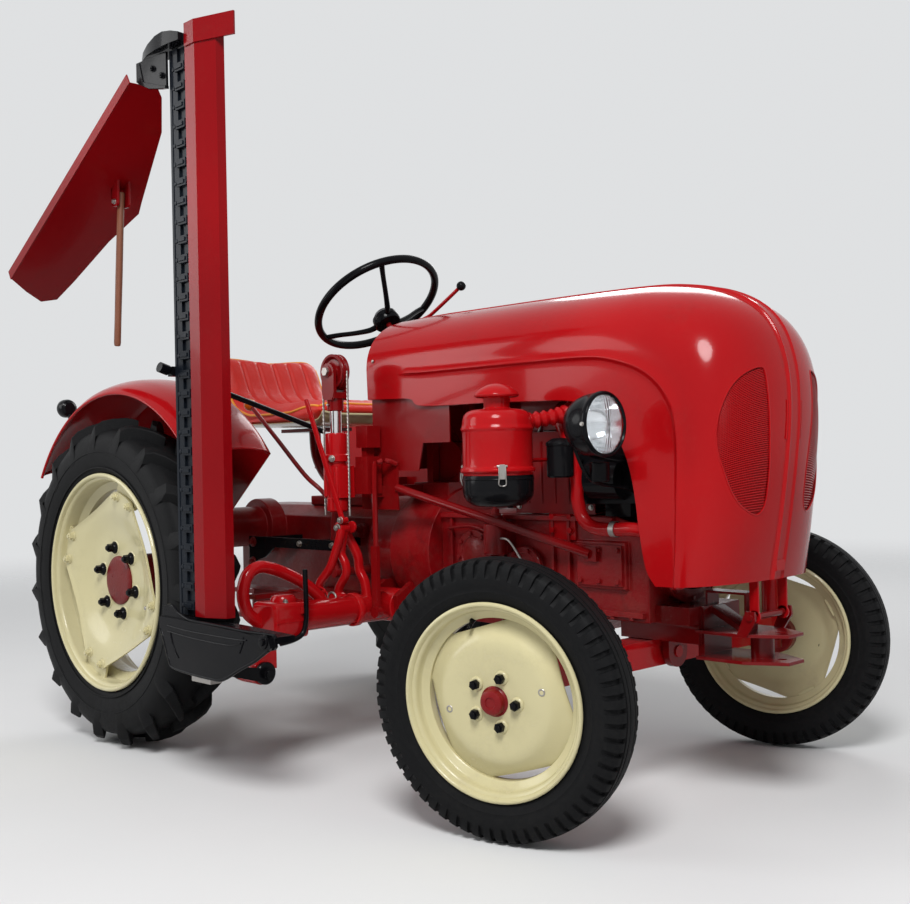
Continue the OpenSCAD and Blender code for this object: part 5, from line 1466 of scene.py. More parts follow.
# Upright ribs on the block and a flange along the sump
for x in (905, 1110, 1290, 1345):
    engine.slab([(x, 470), (x + 9, 470), (x + 9, 690), (x, 690)], BLOCK_Y - 10, BLOCK_Y + 2)
for y0, y1 in ((BLOCK_Y - 14, BLOCK_Y + 2), (-BLOCK_Y - 2, -BLOCK_Y + 14)):
    engine.box((870, y0, 452), (1590, y1, 466))
    engine.box((870, y0, 690), (1500, y1, 702))
bolt = Shape("cast")
bolt.hex_bolt((0, 0, 0), (0, 0, -1), 6.5)
for y in (BLOCK_Y - 8, -BLOCK_Y + 8):
    engine.at = shift(890, y, 452)
    engine.add(*repeat(bolt, 12, "cast", step=(60, 0, 0), wobble=4))
engine.home()

# %% Pulleys and belt
# Front cover's flange with its ring of bolts and the crank pulley
engine.at = shift(1630, 0, 600) @ turn("Y", 90)
engine.turned([(0, 8), (96, 8), (112, 3), (118, 0), (118, -8), (0, -8)], 64)
for q in range(9):
    engine.hex_bolt((*polar(106, 40 * q), 4), (0, 0, 1), 6.5)
engine.look = 1
engine.turned([(0, 34), (30, 34), (32, 30), (76, 30), (80, 28), (80, 25), (70, 19), (80, 13), (80, 10),
    (0, 10)], 56)
engine.at = shift(1624, 0, 860) @ turn("Y", 90)
engine.turned([(0, 26), (16, 26), (18, 22), (56, 22), (60, 20), (54, 14), (60, 8), (60, 4), (0, 4)], 56)
engine.home()
# Fan belt
belt = []
for cz, r, a0, a1 in ((860, 58, -8, 188), (600, 78, 172, 368)):
    for a in np.linspace(a0, a1, 22):
        y, z = polar(r, a)
        belt.append((1640, y, cz + z))
engine.tube(belt, 5.5, sides=8, steps=1, ref=(1, 0, 0), closed=True)

# %% Pump and filter
# Injection pump and its lines on the right side
engine.look = 0
engine.at = shift(1120, -178, 640)
engine.drum(34, -44, 40, 40, 5)
engine.drum(20, 40, 66, 32, 3)
engine.hex_bolt((0, 0, 66), (0, 0, 1), 13, True, 8)
engine.home()
engine.box((1086, -170, 600), (1154, BLOCK_Y, 660))
engine.look = 2
engine.tube([(1120, -178, 712), (1122, -176, 745), (1150, -165, 790), (1215, -150, 850),
    (1236, -122, 930), (1246, -110, 975)], 3.4, sides=10)
engine.tube([(1150, -190, 640), (1190, -196, 632), (1236, -182, 560), (1250, -160, 520)], 4.0, sides=10)
engine.look = 0
engine.tube([(905, BLOCK_Y - 16, 660), (1000, BLOCK_Y - 20, 668), (1060, BLOCK_Y - 22, 655),
    (1086, BLOCK_Y - 22, 640)], 5, sides=10)
# Oil filter and filler on the left side
engine.at = shift(1180, 178, 560)
engine.drum(44, -70, 60, 44, 6)
engine.hex_bolt((0, 0, 60), (0, 0, 1), 12, True, 4)
engine.home()
engine.box((1140, -BLOCK_Y - 2, 560), (1220, 160, 600))
engine.at = shift(1420, 160, 690) @ turn("X", -24)
engine.drum(17, -40, 60, 32, 2)
engine.look = 1
engine.drum(23, 60, 78, 24, 4)
engine.home()
piece("engine_details", engine, "chassis", edge=0.9, rounds=1)

# %% [markdown]
# Sheet panels lead the fan's air past the finned barrel. Pressed beads make them stiff.

# %% Cooling shroud
# Sheet panels round the finned barrel, with pressed beads and screws, in the darker red that paints the
# shade under the hood
shroud = Shape("dark_scarlet", "bare", "cast", "black_paint")
for s in (-1, 1):
    y = 142 * s
    shroud.box((1168, min(y, y + 2.5 * s), 712), (1442, max(y, y + 2.5 * s), 925))
    for x in (1215, 1262, 1309, 1356, 1403):
        shroud.tube([(x, y + 1.5 * s, 735), (x, y + 1.5 * s, 820), (x, y + 1.5 * s, 900)], 4.2, sides=8,
            steps=1, ref=(1, 0, 0))
    for x in (1180, 1430):
        for z in (726, 910):
            shroud.look = 1
            shroud.hex_bolt((x, y + 2.5 * s, z), (0, s, 0), 6)
            shroud.look = 0
shroud.box((1166, -144, 712), (1169, 144, 925))
shroud.box((1166, -144, 708), (1444, 144, 713))
# Pushrod tubes and the valve cover's nuts
shroud.look = 2
for x in (1204, 1380):
    shroud.rod((x, -100, 700), (x, -92, 940), 15, 24)
for x in (1230, 1350):
    shroud.hex_bolt((x, 0, 1090), (0, 0, 1), 13, True, 6)
# Black housing of the cooling air in front of the barrel
shroud.look = 3
for s in (-1, 1):
    y0, y1 = sorted((150 * s, 184 * s))
    shroud.slab([(1392, 750), (1404, 736), (1612, 740), (1624, 752), (1624, 884), (1612, 896),
        (1426, 896), (1412, 884), (1410, 842), (1392, 828)], y0, y1)
    shroud.slab([(1420, 764), (1600, 764), (1600, 874), (1430, 874), (1420, 840)],
        *sorted((183 * s, 188 * s)))
    for x, z in ((1410, 752), (1610, 756), (1424, 884), (1610, 882)):
        shroud.hex_bolt((x, 184 * s, z), (0, s, 0), 5)
# A black can on a strap beside the exhaust
shroud.at = shift(1430, -262, 0)
shroud.turned([(0, 806), (30, 806), (34, 810), (34, 884), (36, 886), (36, 892), (33, 896), (20, 904),
    (0, 906)], 44)
shroud.home()
shroud.box((1414, -262, 846), (1446, -183, 852))
piece("cooling_shroud", shroud, "chassis", edge=0.7)

# %% [markdown]
# The can is one outline turned round its axis, with every bead and step in that outline.
# The hose is a tube whose radius swings like a wave along its path.

# %% Air cleaner
CLEANER = (1327, -380)
can = Shape("scarlet", "black_paint", "bare")
can.at = shift(CLEANER[0], CLEANER[1], 0)
can.turned([(0, 1046), (10, 1045), (28, 1040), (44, 1031), (54, 1021), (56.5, 1015), (55, 1011),
    (50, 1009), (40, 1009), (34, 1007), (33, 984), (36, 981), (64, 978), (76, 973), (84, 964),
    (87, 952), (88, 943), (89.5, 936), (91.5, 933), (91.5, 929), (89.5, 926), (88, 922), (88, 842),
    (89, 836), (94, 832), (95, 826), (92, 822), (88, 820), (87, 815), (0, 815)], 72)
can.look = 2
for q in range(3):
    can.at = shift(CLEANER[0], CLEANER[1], 0) @ turn("Z", 200 + 120 * q)
    can.box((88, -7, 806), (97, 7, 842))
    can.rod((93, -13, 838), (93, 13, 838), 3)
    can.tube([(95, -8, 838), (99, -8, 812), (95, -8, 792), (95, 8, 792), (99, 8, 812), (95, 8, 838)],
        1.8, sides=8)
can.look = 0
can.home()
# Corrugated hose from the shoulder to the head, with clamps
hose_path = smooth_rows([(1372, -342, 948), (1392, -300, 952), (1416, -258, 960), (1424, -212, 975),
    (1412, -166, 1000), (1396, -122, 1010)], 12)
radii = [19 + 3.2 * math.sin(2 * math.pi * i / 5.0) for i in range(len(hose_path))]
can.tube([tuple(p) for p in hose_path], radii, sides=24, steps=1, ref=(0, 0, 1))
can.look = 2
for k in (3, len(hose_path) - 5):
    p, q = hose_path[k], hose_path[k + 1]
    can.at = aim(p, q)
    can.lathe([(22.5, -5), (24.5, -5), (24.5, 5), (22.5, 5)], 32)
    can.hex_bolt((26, 0, 0), (0, 1, 0), 4.5)
can.home()
can.look = 0
can.box((CLEANER[0] - 45, -322, 850), (CLEANER[0] + 45, BLOCK_Y, 856))
can.box((CLEANER[0] - 45, BLOCK_Y - 6, 640), (CLEANER[0] + 45, BLOCK_Y, 856))
for x in (CLEANER[0] - 30, CLEANER[0] + 30):
    can.hex_bolt((x, BLOCK_Y - 6, 665), (0, -1, 0), 8)
    can.hex_bolt((x, BLOCK_Y - 6, 700), (0, -1, 0), 8)
can.slab([(CLEANER[0] - 3, 852), (CLEANER[0] + 3, 852), (CLEANER[0] + 3, 846), (CLEANER[0] - 3, 846)],
    -320, BLOCK_Y)
piece("air_cleaner_shown", can, "chassis", "air_cleaner", edge=0.6)

bowl = Shape("black_paint", "bare")
bowl.at = shift(CLEANER[0], CLEANER[1], 0)
bowl.turned([(0, 815), (88, 815), (89, 812), (89, 776), (87, 764), (80, 752), (68, 743), (58, 739),
    (30, 737), (0, 737)], 72)
bowl.lathe(circle(88.5, 806, 2.2, 10), 72)
piece("oil_bowl_shown", bowl, "chassis", "oil_bowl")

# %% [markdown]
# The pipe bends down in front of the barrel. One tube on a smooth path has no seams at the
# bends, as a drawn pipe has none.

# %% Exhaust
pipe = Shape("scarlet", "cast", "bare")
pipe.tube([(1350, -121, 985), (1350, -160, 984), (1375, -198, 955), (1425, -215, 880),
    (1443, -215, 793), (1444, -215, 748), (1464, -215, 698), (1514, -215, 677), (1625, -213, 678),
    (1700, -205, 660), (1722, -195, 600), (1724, -190, 540)], 17, sides=28, steps=8, ref=(0, 0.3, 1))
pipe.look = 1
pipe.box((1322, -127, 958), (1378, -115, 1012))
for x in (1333, 1367):
    for z in (968, 1002):
        pipe.hex_bolt((x, -127, z), (0, -1, 0), 7)
pipe.at = aim((1560, -214.3, 677.6), (1580, -214, 677.8))
pipe.look = 2
pipe.lathe([(17.2, -8), (20, -8), (20, 8), (17.2, 8)], 36)
pipe.hex_bolt((22, 0, 0), (0, 1, 0), 5)
pipe.home()
piece("exhaust_shown", pipe, "chassis", "exhaust_pipe", edge=0.6)

# %% [markdown]
# ## Lamps
#
# A deep black bowl, a mirror inside it and a domed glass with upright flutes, all real shapes.

# %% Headlamps
LAMP_X, LAMP_Y, LAMP_Z = 1683.0, 398.0, 930.0
bowls = Shape("black_paint", "mirror", "bare")
glasses = Shape("lens")
bowls.at = shift(LAMP_X, LAMP_Y, LAMP_Z) @ turn("Y", 90)
bowls.lathe([(67.5, 2), (70, 5.2), (74, 4.6), (76.2, 1), (76.4, -4), (75, -8), (73.5, -12), (73, -24),
    (70, -44), (64, -62), (54, -78), (40, -90), (22, -98), (6, -101), (0.5, -101), (0.5, -96),
    (20, -92), (37, -85), (50, -73), (60, -58), (66, -40), (68.5, -22), (68.5, -4)], 72)
bowls.look = 1
bowls.lathe([(66.5, -5), (67.5, -5), (61, -32), (48, -54), (30, -70), (12, -77), (0.5, -78), (0.5, -76),
    (12, -75), (29, -68), (46.5, -52.5), (59.5, -31)], 64)
bowls.turned([(0, -76), (9, -76), (9, -52), (6, -48), (0, -46)], 20)
bowls.look = 2
bowls.hex_bolt((0, 78, -2), (0, 1, 0), 4)
bowls.look = 0
bowls.home()
bowls.box((LAMP_X - 96, LAMP_Y - 22, LAMP_Z - 46), (LAMP_X - 88, LAMP_Y + 22, LAMP_Z - 4))
bowls.tube([(LAMP_X - 90, LAMP_Y, LAMP_Z - 40), (LAMP_X - 92, LAMP_Y - 30, LAMP_Z - 56),
    (LAMP_X - 94, LAMP_Y - 120, LAMP_Z - 74), (LAMP_X - 96, 150, LAMP_Z - 90)], 11, sides=16)
bowls.box((LAMP_X - 116, 138, LAMP_Z - 120), (LAMP_X - 76, 152, LAMP_Z - 60))
# Small black boxes and a horn behind the lamp
bowls.at = shift(1604, 322, 818)
bowls.drum(24, -22, 26, 40, 5)
bowls.home()
bowls.tube([(LAMP_X - 90, LAMP_Y - 6, LAMP_Z - 20), (LAMP_X - 104, LAMP_Y - 20, LAMP_Z - 60),
    (LAMP_X - 96, 330, 800), (LAMP_X - 84, 220, 780), (LAMP_X - 82, 168, 760)], 4.5, sides=10)
rings = []
segments = 128
for k in range(segments):
    a = 2 * math.pi * k / segments
    front = []
    for r in (66.8, 64, 58, 50, 42, 34, 26, 18, 10, 3):
        x, y = r * math.cos(a), r * math.sin(a)
        dome = 11.5 * (1 - (r / 67) ** 2) ** 0.6 + 1.5
        flute = 0.75 * math.cos(y * 2 * math.pi / 8.2) * min(1, (67 - r) / 6)
        flute *= 0.35 if abs(x) < 5 else 1.0
        front.append((x, y, dome + flute + (1.6 * math.exp(-(x / 4.0) ** 2) if r < 60 else 0)))
    rear = [(x, y, z - 3.2) for x, y, z in reversed(front)]
    rings.append(front + rear)
glasses.at = shift(LAMP_X, LAMP_Y, LAMP_Z) @ turn("Y", 90)
glasses.loft(rings, closed=True)
glasses.home()
bowls.sides()
glasses.sides()
piece("headlamps_shown", bowls, "chassis", "headlamps", edge=0.4)
piece("lamp_lenses_shown", glasses, "chassis", "lamp_lenses", sharp=60)

# %% [markdown]
# ## Steering wheel and levers
#
# The wheel's rim is a lathe with a slightly flat inner side. Its three spokes sag to the hub,
# so each is a tube along a smooth path.

# %% Steering wheel
WHEEL_C = Vector((436, 0, 1367))
TILT = 36.4
wheel = Shape("black_paint", "bare")
wheel_at = Matrix.Translation(WHEEL_C) @ turn("Y", -TILT)
wheel.at = wheel_at
wheel.lathe([(205 + c * (13 if c > -0.2 else 12), 13 * s) for c, s in circle(0, 0, 1, 20)], 128)
for q in range(3):
    wheel.at = wheel_at @ turn("Z", -30 + 120 * q)
    wheel.tube([(30, 0, -73), (62, 0, -70), (110, 0, -48), (160, 0, -20), (196, 0, -3), (205, 0, 0)],
               [10, 9, 8, 8, 9, 10], sides=16)
wheel.at = wheel_at
wheel.turned([(0, -34), (9, -34), (22, -38), (30, -44), (36, -52), (42, -58), (43, -64), (43, -84),
    (40, -89), (0, -89)], 48)
wheel.look = 1
wheel.turned([(0, -30), (6, -30.5), (11, -33), (12, -36), (0, -36)], 28)
piece("steering_wheel_shown", wheel, "steering_wheel", "steering_wheel")

# %% [markdown]
# Levers are rods with a ball on top. Their bends follow the hands' reach past the seat.

# %% Hand levers
levers = Shape("cast", "black_paint", "orange", "scarlet")
levers.look = 3
levers.tube([(532, 23.4, 1236), (531, 46, 1240), (520, 92, 1282), (528, 114, 1312), (560, 120, 1326),
    (640, 120, 1368), (696, 120, 1399)], 6, sides=14, ref=(0.2, 0, 1))
levers.look = 0
levers.tube([(330, 20, 812), (332, 20, 850), (372, 20, 900), (460, 20, 1000), (540, 20, 1090)],
    [9.5, 9, 8, 7.5, 7], sides=14)
levers.at = shift(330, 20, 805)
levers.turned([(0, 0), (24, 0), (24, 4), (15, 14), (12, 22), (0, 22)], 28)
levers.at = shift(500, -145, 640) @ turn("X", 90)
levers.drum(22, -20, 0, 32, 2)
levers.hex_bolt((0, 0, 0), (0, 0, 1), 10)
levers.home()
levers.tube([(500, -150, 640), (508, -205, 672), (490, -280, 765), (428, -300, 818), (290, -300, 929),
    (155, -300, 1037)], 7, sides=14, ref=(0.3, 1, 0.2))
levers.look = 1
levers.ball((703, 120, 1403), 15)
levers.ball((540, 20, 1094), 17)
levers.look = 2
levers.ball((142, -300, 1047), 20)
piece("hand_levers_shown", levers, "chassis", "hand_levers", edge=0.5)
print("engine, lamps and levers done; pieces so far:", len(MADE))

# %% [markdown]
# ## Lift
#
# A hydraulic cylinder with a chromed rod carries a grooved pulley. A wire rope runs over it.

# %% Lift cylinder
LIFT = Vector((650, -352, 0))
lift = Shape("scarlet", "bare", "dark_scarlet")
lift.at = shift(*LIFT)
lift.turned([(0, 711), (26, 711), (31, 716), (31, 750), (29, 752), (29, 850), (31, 852), (31, 856),
    (37, 858), (37, 876), (33, 879), (33, 934), (31, 940), (22, 941), (20, 938), (0, 938)], 56)
lift.prism([(-37, -13), (-32, -18), (32, -18), (37, -13), (37, 34), (-37, 34)], 757, 840)
lift.prism([(-38, -10), (-34, -21), (-26, -21), (-26, 35), (-38, 35)], 752, 845)
lift.prism([(26, 35), (26, -21), (34, -21), (38, -10), (38, 35)], 752, 845)
for k in (-1, 0, 1):
    lift.at = shift(*LIFT) @ shift(24 * k, -20, 0)
    lift.turned([(0, 754), (7, 756), (8, 762), (8, 838), (5, 844), (0, 844)], 20)
lift.look = 1
lift.home()
lift.hex_bolt((668, -384, 866), (0.5, -0.85, 0), 8, True, 2)
lift.rod((664, -352, 715), (664, -352, 712), 6)
piece("lift_cylinder_shown", lift, "chassis", "lift_cylinder", edge=1.2)

# %% [markdown]
# The rope is made of cords that really turn round each other, because a bump would not
# show at its edge, and light catches on each turn.

# %% Lift rod with its yoke
rod_top = Shape("dark_scarlet", "chrome", "bare")
rod_top.look = 1
rod_top.at = shift(*LIFT)
rod_top.turned([(0, 800), (16.5, 800), (17, 802), (17, 1018), (0, 1018)], 48)
rod_top.look = 0
rod_top.turned([(0, 1004), (22, 1004), (24, 1006), (24, 1040), (27, 1047), (27, 1052), (0, 1052)], 40)
CHEEK = [(-18, 1036), (18, 1036), (24, 1046), (28, 1060), (28, 1104), (27, 1122), (19, 1136), (8, 1143),
    (-8, 1143), (-19, 1136), (-27, 1122), (-28, 1104), (-28, 1060), (-24, 1046)]
rod_top.slab(CHEEK, -28, -17)
rod_top.slab(CHEEK, 17, 28)
rod_top.slab([(-27, 1040), (27, 1040), (27, 1058), (-27, 1058)], -26, 26)
rod_top.at = shift(*LIFT) @ shift(0, 0, 1118) @ turn("X", 90)
rod_top.drum(9, -34, 34, 28, 1.5)
rod_top.drum(17, 27, 31, 32, 1)
rod_top.drum(17, -31, -27, 32, 1)
rod_top.look = 2
rod_top.prism(hexagon(13), 31, 40)
rod_top.prism(hexagon(13), -40, -31)
rod_top.home()
rod_top.rod((650, -377, 1022), (650, -384, 1022), 3.4, 12)
# The rope's two strands, each a twist of three cords
ROPE_X = 56.3
for s in (-1, 1):
    for q in range(3):
        path = []
        for k in range(105):
            z = 1118 - (1118 - 701) * k / 104
            x, y = polar(1.8, 120 * q + 360 * (1118 - z) / 34)
            path.append((650 + s * ROPE_X + x, -352 + y, z))
        rod_top.tube(path, 1.9, sides=7, steps=1)
    rod_top.rod((650 + s * ROPE_X, -352, 716), (650 + s * ROPE_X, -352, 700), 3.9, 16)
piece("lift_rod_shown", rod_top, "lift_rod", "lift_rod", edge=0.7)

# %% Pulley
pulley = Shape("dark_scarlet", "bare")
pulley.at = shift(650, -352, 1118) @ turn("X", 90)
groove = [(9.2, -14), (20, -14), (22, -8.5), (26, -6), (37, -6), (41, -9), (44, -13.5), (51, -14),
    (52, -12.5), (46, -8), (44.8, -6.5), (46, -4.6), (51.4, -2.2), (51.8, -0), (51.4, 2.2), (46, 4.6),
    (44.8, 6.5), (46, 8), (52, 12.5), (51, 14), (44, 13.5), (41, 9), (37, 6), (26, 6), (22, 8.5),
    (20, 14), (9.2, 14)]
pulley.lathe(groove, 96)
piece("sheave_shown", pulley, "sheave", "sheave", edge=0.3)

# %% [markdown]
# ## Mower arm
#
# A tube from under the tractor to a box casting, with a hoop over it. Three bent arms stand
# on the tube and meet at the foot of a long flat lever.

# %% Mower arm
arm = Shape("scarlet", "black_paint", "bare", "dark_scarlet")
ARM_X, PIVOT_Z = 700, 430
arm.at = shift(ARM_X, 0, PIVOT_Z) @ turn("X", 90)
arm.turned([(0, 225), (40, 225), (42, 228), (42, 520), (44, 530), (46, 548), (0, 548)], 72)
arm.turned([(0, 330), (46, 330), (48, 333), (48, 350), (46, 353), (0, 353)], 72)
arm.at = shift(ARM_X, -190, PIVOT_Z) @ turn("Y", 90)
arm.lathe([(22.2, -45), (48, -45), (50, -43), (50, 43), (48, 45), (22.2, 45)], 56)
arm.home()
# Casting: its end face is a rounded block, with a seam round it
def casting_ring(y, grow, top, low):
    a, b = 58 - grow, 14
    ring = []
    for sx, sz, t0 in ((1, 1, 0), (-1, 1, 90), (-1, -1, 180), (1, -1, 270)):
        for t in (t0, t0 + 30, t0 + 60, t0 + 90):
            dx, dz = polar(b, t)
            ring.append((ARM_X + sx * (a - b) + dx, y, (top - b if sz > 0 else low + b) + dz))
    return ring


arm.loft([casting_ring(-541, 10, 470, 386), casting_ring(-545, 4, 476, 380),
    casting_ring(-580, 0, 478, 378), casting_ring(-584, -0.0, 478.6, 377.4),
    casting_ring(-588, 0, 478, 378), casting_ring(-640, 0, 480, 376), casting_ring(-650, 3, 477, 379),
    casting_ring(-655, 9, 471, 385)])
arm.box((ARM_X - 58.6, -650, 424), (ARM_X + 58.6, -545, 428))
arm.box((ARM_X - 40, -706, 306), (ARM_X + 40, -642, 380))
arm.at = shift(ARM_X + 6, -592, 0)
arm.turned([(0, 474), (36, 474), (36, 484), (30, 494), (22, 497), (0, 497)], 40)
arm.home()
arm.look = 2
arm.hex_bolt((ARM_X + 40, -610, 478), (0, 0, 1), 7, True, 3)
arm.hex_bolt((ARM_X - 42, -570, 478), (0, 0, 1), 7, True, 3)
arm.look = 0

# %% Hoop and hinge
# Hoop over the casting, from its inner end to the hinge block
HOOP = [(676, -628, 400), (676, -660, 428), (676, -690, 456), (676, -703, 506), (676, -688, 554),
    (677, -652, 574), (678, -605, 566), (680, -555, 546), (682, -500, 516), (684, -452, 476),
    (686, -436, 452)]
arm.tube(HOOP, [17.5] * 9 + [17, 16], sides=24, steps=6, ref=(1, 0, 0))
# Folding hinge: boss and pin
arm.at = shift(ARM_X, -690, 300) @ turn("Y", 90)
arm.drum(32, -42, 42, 40, 2)
arm.look = 1
arm.drum(12, -80, 80, 28, 1.5)
arm.prism(hexagon(17), 62, 74)
arm.look = 0
arm.home()

# %% Bent arms
def strap(path, width, thick, steps=5):
    """A forged arm: a bar with rounded edges that follows a path in one plane."""
    rows = smooth_rows([(*p, w, t) for p, w, t in zip(path, width, thick)], steps)
    rings = []
    for i, row in enumerate(rows):
        ahead = Vector(rows[min(len(rows) - 1, i + 1)][:3]) - Vector(rows[max(0, i - 1)][:3])
        side = ahead.cross(Vector((0, 1, 0))).normalized()
        out = side.cross(ahead).normalized()
        ring = []
        for a in range(0, 360, 24):
            c, s = polar(1, a)
            ring.append(tuple(Vector(row[:3]) + side * (row[3] / 2 * math.copysign(abs(c) ** 0.55, c))
                              + out * (row[4] / 2 * math.copysign(abs(s) ** 0.7, s))))
        rings.append(ring)
    return rings


arm.loft(strap([(612, -400, 462), (622, -400, 504), (646, -398, 530), (668, -396, 556),
    (685, -392, 596), (704, -388, 642), (706, -386, 664)], [24, 25, 25, 24, 23, 23, 24],
    [22, 22, 20, 20, 20, 22, 24]))
arm.loft(strap([(662, -365, 462), (668, -365, 494), (700, -366, 532), (702, -368, 562),
    (686, -370, 592), (693, -371, 626), (704, -372, 676)], [24, 22, 22, 22, 22, 23, 26],
    [22, 22, 22, 22, 22, 22, 24]))
arm.loft(strap([(716, -300, 440), (712, -300, 462), (704, -300, 506), (686, -304, 540),
    (686, -310, 582), (668, -326, 632), (664, -344, 668)], [30, 28, 26, 25, 25, 26, 26],
    [24, 24, 24, 24, 24, 24, 24]))
# Fork that the rope's end moves down in
arm.at = shift(700, -352, 668) @ turn("X", 90)
arm.drum(17, -16, -8, 32, 1.5)
arm.drum(17, 8, 40, 32, 2)
arm.look = 2
arm.hex_bolt((0, 0, 40), (0, 0, 1), 9, True, 2)
arm.look = 0

# %% Ring and chain
# Ring, shackle and chain at the foot of the arms
arm.at = shift(684, -400, 466) @ turn("X", 90)
arm.drum(15, -36, 6, 32, 1.5)
arm.look = 2
arm.lathe(circle(18, 5, 3.4, 9), 36)
arm.look = 0
arm.home()
arm.box((604, -412, 412), (664, -386, 450))
LINKS = [(608, -408, 476), (628, -408, 490), (650, -408, 484), (664, -406, 462)]
for k, (a, b) in enumerate(zip(LINKS, LINKS[1:])):
    a, b = Vector(a), Vector(b)
    along = (b - a).normalized()
    wide = along.cross(Vector((0, 1, 0))) if k % 2 else Vector((0, 1, 0))
    loop = []
    for t in range(0, 360, 24):
        c, s = polar(1, t)
        loop.append(tuple((a + b) / 2 + along * (math.copysign(9, c) + 7 * c) + wide * 7 * s))
    arm.tube(loop, 3.2, sides=8, steps=1,
        ref=tuple(Vector((0, 1, 0)) if k % 2 else along.cross(Vector((0, 1, 0)))), closed=True)

# %% Lever and bent rod
# Long flat lever up towards the seat
foot, head = Vector((718, -387, 684)), Vector((588, -413, 1044))
flat = (head - foot).normalized()
broad = flat.cross(Vector((0, 1, 0))).normalized()
outward = broad.cross(flat).normalized()
rings = []
for f, w in ((0, 13), (0.01, 16), (0.03, 17.5), (0.92, 15), (0.97, 13.5), (0.99, 10)):
    p = foot.lerp(head, f)
    rings.append([tuple(p + broad * (w / 2 * sx) + outward * (4 * sy)) for sx, sy in
                  ((-1, -0.7), (-0.8, -1), (0.8, -1), (1, -0.7), (1, 0.7), (0.8, 1), (-0.8, 1), (-1, 0.7))])
arm.loft(rings)
arm.rod((716, -372, 690), (716, -396, 690), 9, 20)
arm.look = 2
arm.hex_bolt((716, -394, 690), (0, -1, 0), 8, True, 2)
arm.look = 1
# Black rod bent down to the shoe
arm.tube([(766, -562, 566), (766, -561, 520), (766, -560, 470), (766, -562, 424), (766, -575, 392),
    (766, -606, 379), (766, -648, 374)], 7, sides=16, steps=6, ref=(1, 0, 0))
arm.look = 0
arm.box((ARM_X + 57, -574, 446), (ARM_X + 64, -550, 464))
piece("mower_arm_shown", arm, "mower_arm", "mower_arm", edge=1.2)

# %% [markdown]
# ## Shoes, bar and swath board
#
# The inner shoe is a pressed sled with a thick curved rim. The cutter bar carries its row of
# fingers, each one a copy from the repeater.

# %% Inner shoe
shoe = Shape("black_paint", "bare", "cast")
FACE = [(557, 457), (556, 430), (566, 419), (587, 372), (599, 349), (612, 330), (690, 321), (793, 318),
    (853, 321), (927, 354), (991, 381), (1052, 414), (1059, 420), (1048, 441), (938, 446), (847, 449),
    (700, 453), (640, 456)]
shoe.slab(FACE, -888, -878)
# Rim round the lower edge, thick at the toe
RIM = [(560, -886, 424), (571, -886, 408), (588, -886, 370), (600, -886, 347), (616, -886, 328),
    (690, -886, 321), (793, -886, 318), (853, -886, 322), (927, -886, 355), (991, -886, 382),
    (1048, -886, 414)]
shoe.tube(RIM, 4, sides=12, steps=4)
# Wall along the top, set back a little and curved up at the heel
WALL_TOP = [(560, 484), (584, 487), (606, 486), (634, 470), (668, 459), (706, 454), (847, 451),
    (938, 448), (1049, 449), (1064, 441), (1066, 422), (1058, 414), (1030, 408), (900, 410), (562, 428)]
shoe.slab(WALL_TOP, -879, -871)
shoe.slab([(560, 436), (1040, 424), (1040, 440), (847, 446), (706, 449), (640, 455), (560, 459)], -873,
    -802)
shoe.tube([(x, -876, z) for x, z in WALL_TOP[1:10]], 4.2, sides=10, steps=4)
# Socket and bolt in the toe
shoe.look = 0
shoe.at = shift(1030, -888, 432) @ turn("X", 90)
shoe.drum(17, -8, 3, 32, 1.5)
shoe.drum(9, -8, 9, 24, 1.0)
shoe.home()
# Pressed lines in the face
for line in (((600, 436), (700, 430), (900, 428), (960, 430)),
             ((600, 421), (727, 413), (880, 411), (935, 420)),
             ((944, 436), (948, 428), (940, 412), (930, 396)),
             ((612, 421), (620, 396), (634, 372), (650, 356))):
    shoe.tube([(x, -888.6, z) for x, z in line], 2.0, sides=8, steps=5)

# %% Hinge ears of the shoe
# Ears of the folding hinge
for x0 in (700 - 62, 700 + 46):
    shoe.at = shift(x0 + 8, -690, 300) @ turn("Y", 90)
    shoe.lathe([(12.2, -8), (27, -8), (30, -5), (30, 5), (27, 8), (12.2, 8)], 40)
    shoe.home()
    shoe.loft([[(x0, y, low), (x0 + 16, y, low), (x0 + 16, y, top), (x0, y, top)]
               for y, low, top in ((-878, 330, 350), (-716, 282, 318))])
# Wear block under the sole, and a short rod above it
shoe.look = 1
shoe.box((676, -866, 296), (764, -832, 322))
shoe.look = 0
shoe.rod((660, -872, 352), (760, -872, 340), 6)
piece("inner_shoe_shown", shoe, "mower_bar", "inner_shoe", edge=1.2)

# %% [markdown]
# One finger and one blade are built, and the repeater sets them along the bar.

# %% Cutter bar
BAR_Y, BAR_X, LOW_Z, HIGH_Z, PITCH = -850, 588, 461, 1962, 50.8
bar = Shape("bar_blue", "bare", "black_paint")
bar.box((BAR_X, BAR_Y + 8, LOW_Z), (BAR_X + 36, BAR_Y + 18, HIGH_Z))
bar.box((BAR_X, BAR_Y + 6, LOW_Z), (BAR_X + 10, BAR_Y + 8.2, HIGH_Z))
bar.box((BAR_X + 36, BAR_Y + 14, LOW_Z), (BAR_X + 62, BAR_Y + 18, HIGH_Z))
finger = Shape("bar_blue")
finger.box((30, 3, -11), (74, 22, 11))
finger.box((34, 0, -5), (66, 4, 5))
finger.loft([[(68, 7, -8), (68, 20, -8), (68, 20, 8), (68, 7, 8)], [(100, 6.5, -7), (100, 18, -7),
    (100, 18, 7), (100, 6.5, 7)], [(128, 10, -3), (128, 14, -3), (128, 14, 3), (128, 10, 3)]])
finger.rod((17, 8.4, 0), (17, 5.6, 0), 6, 10)
COUNT = int((HIGH_Z - 400 - 61) / PITCH)
bar.look = 0
bar.at = shift(BAR_X, BAR_Y, LOW_Z + PITCH / 2)
bar.add(*repeat(finger, COUNT, "bar_blue", step=(0, 0, PITCH)))
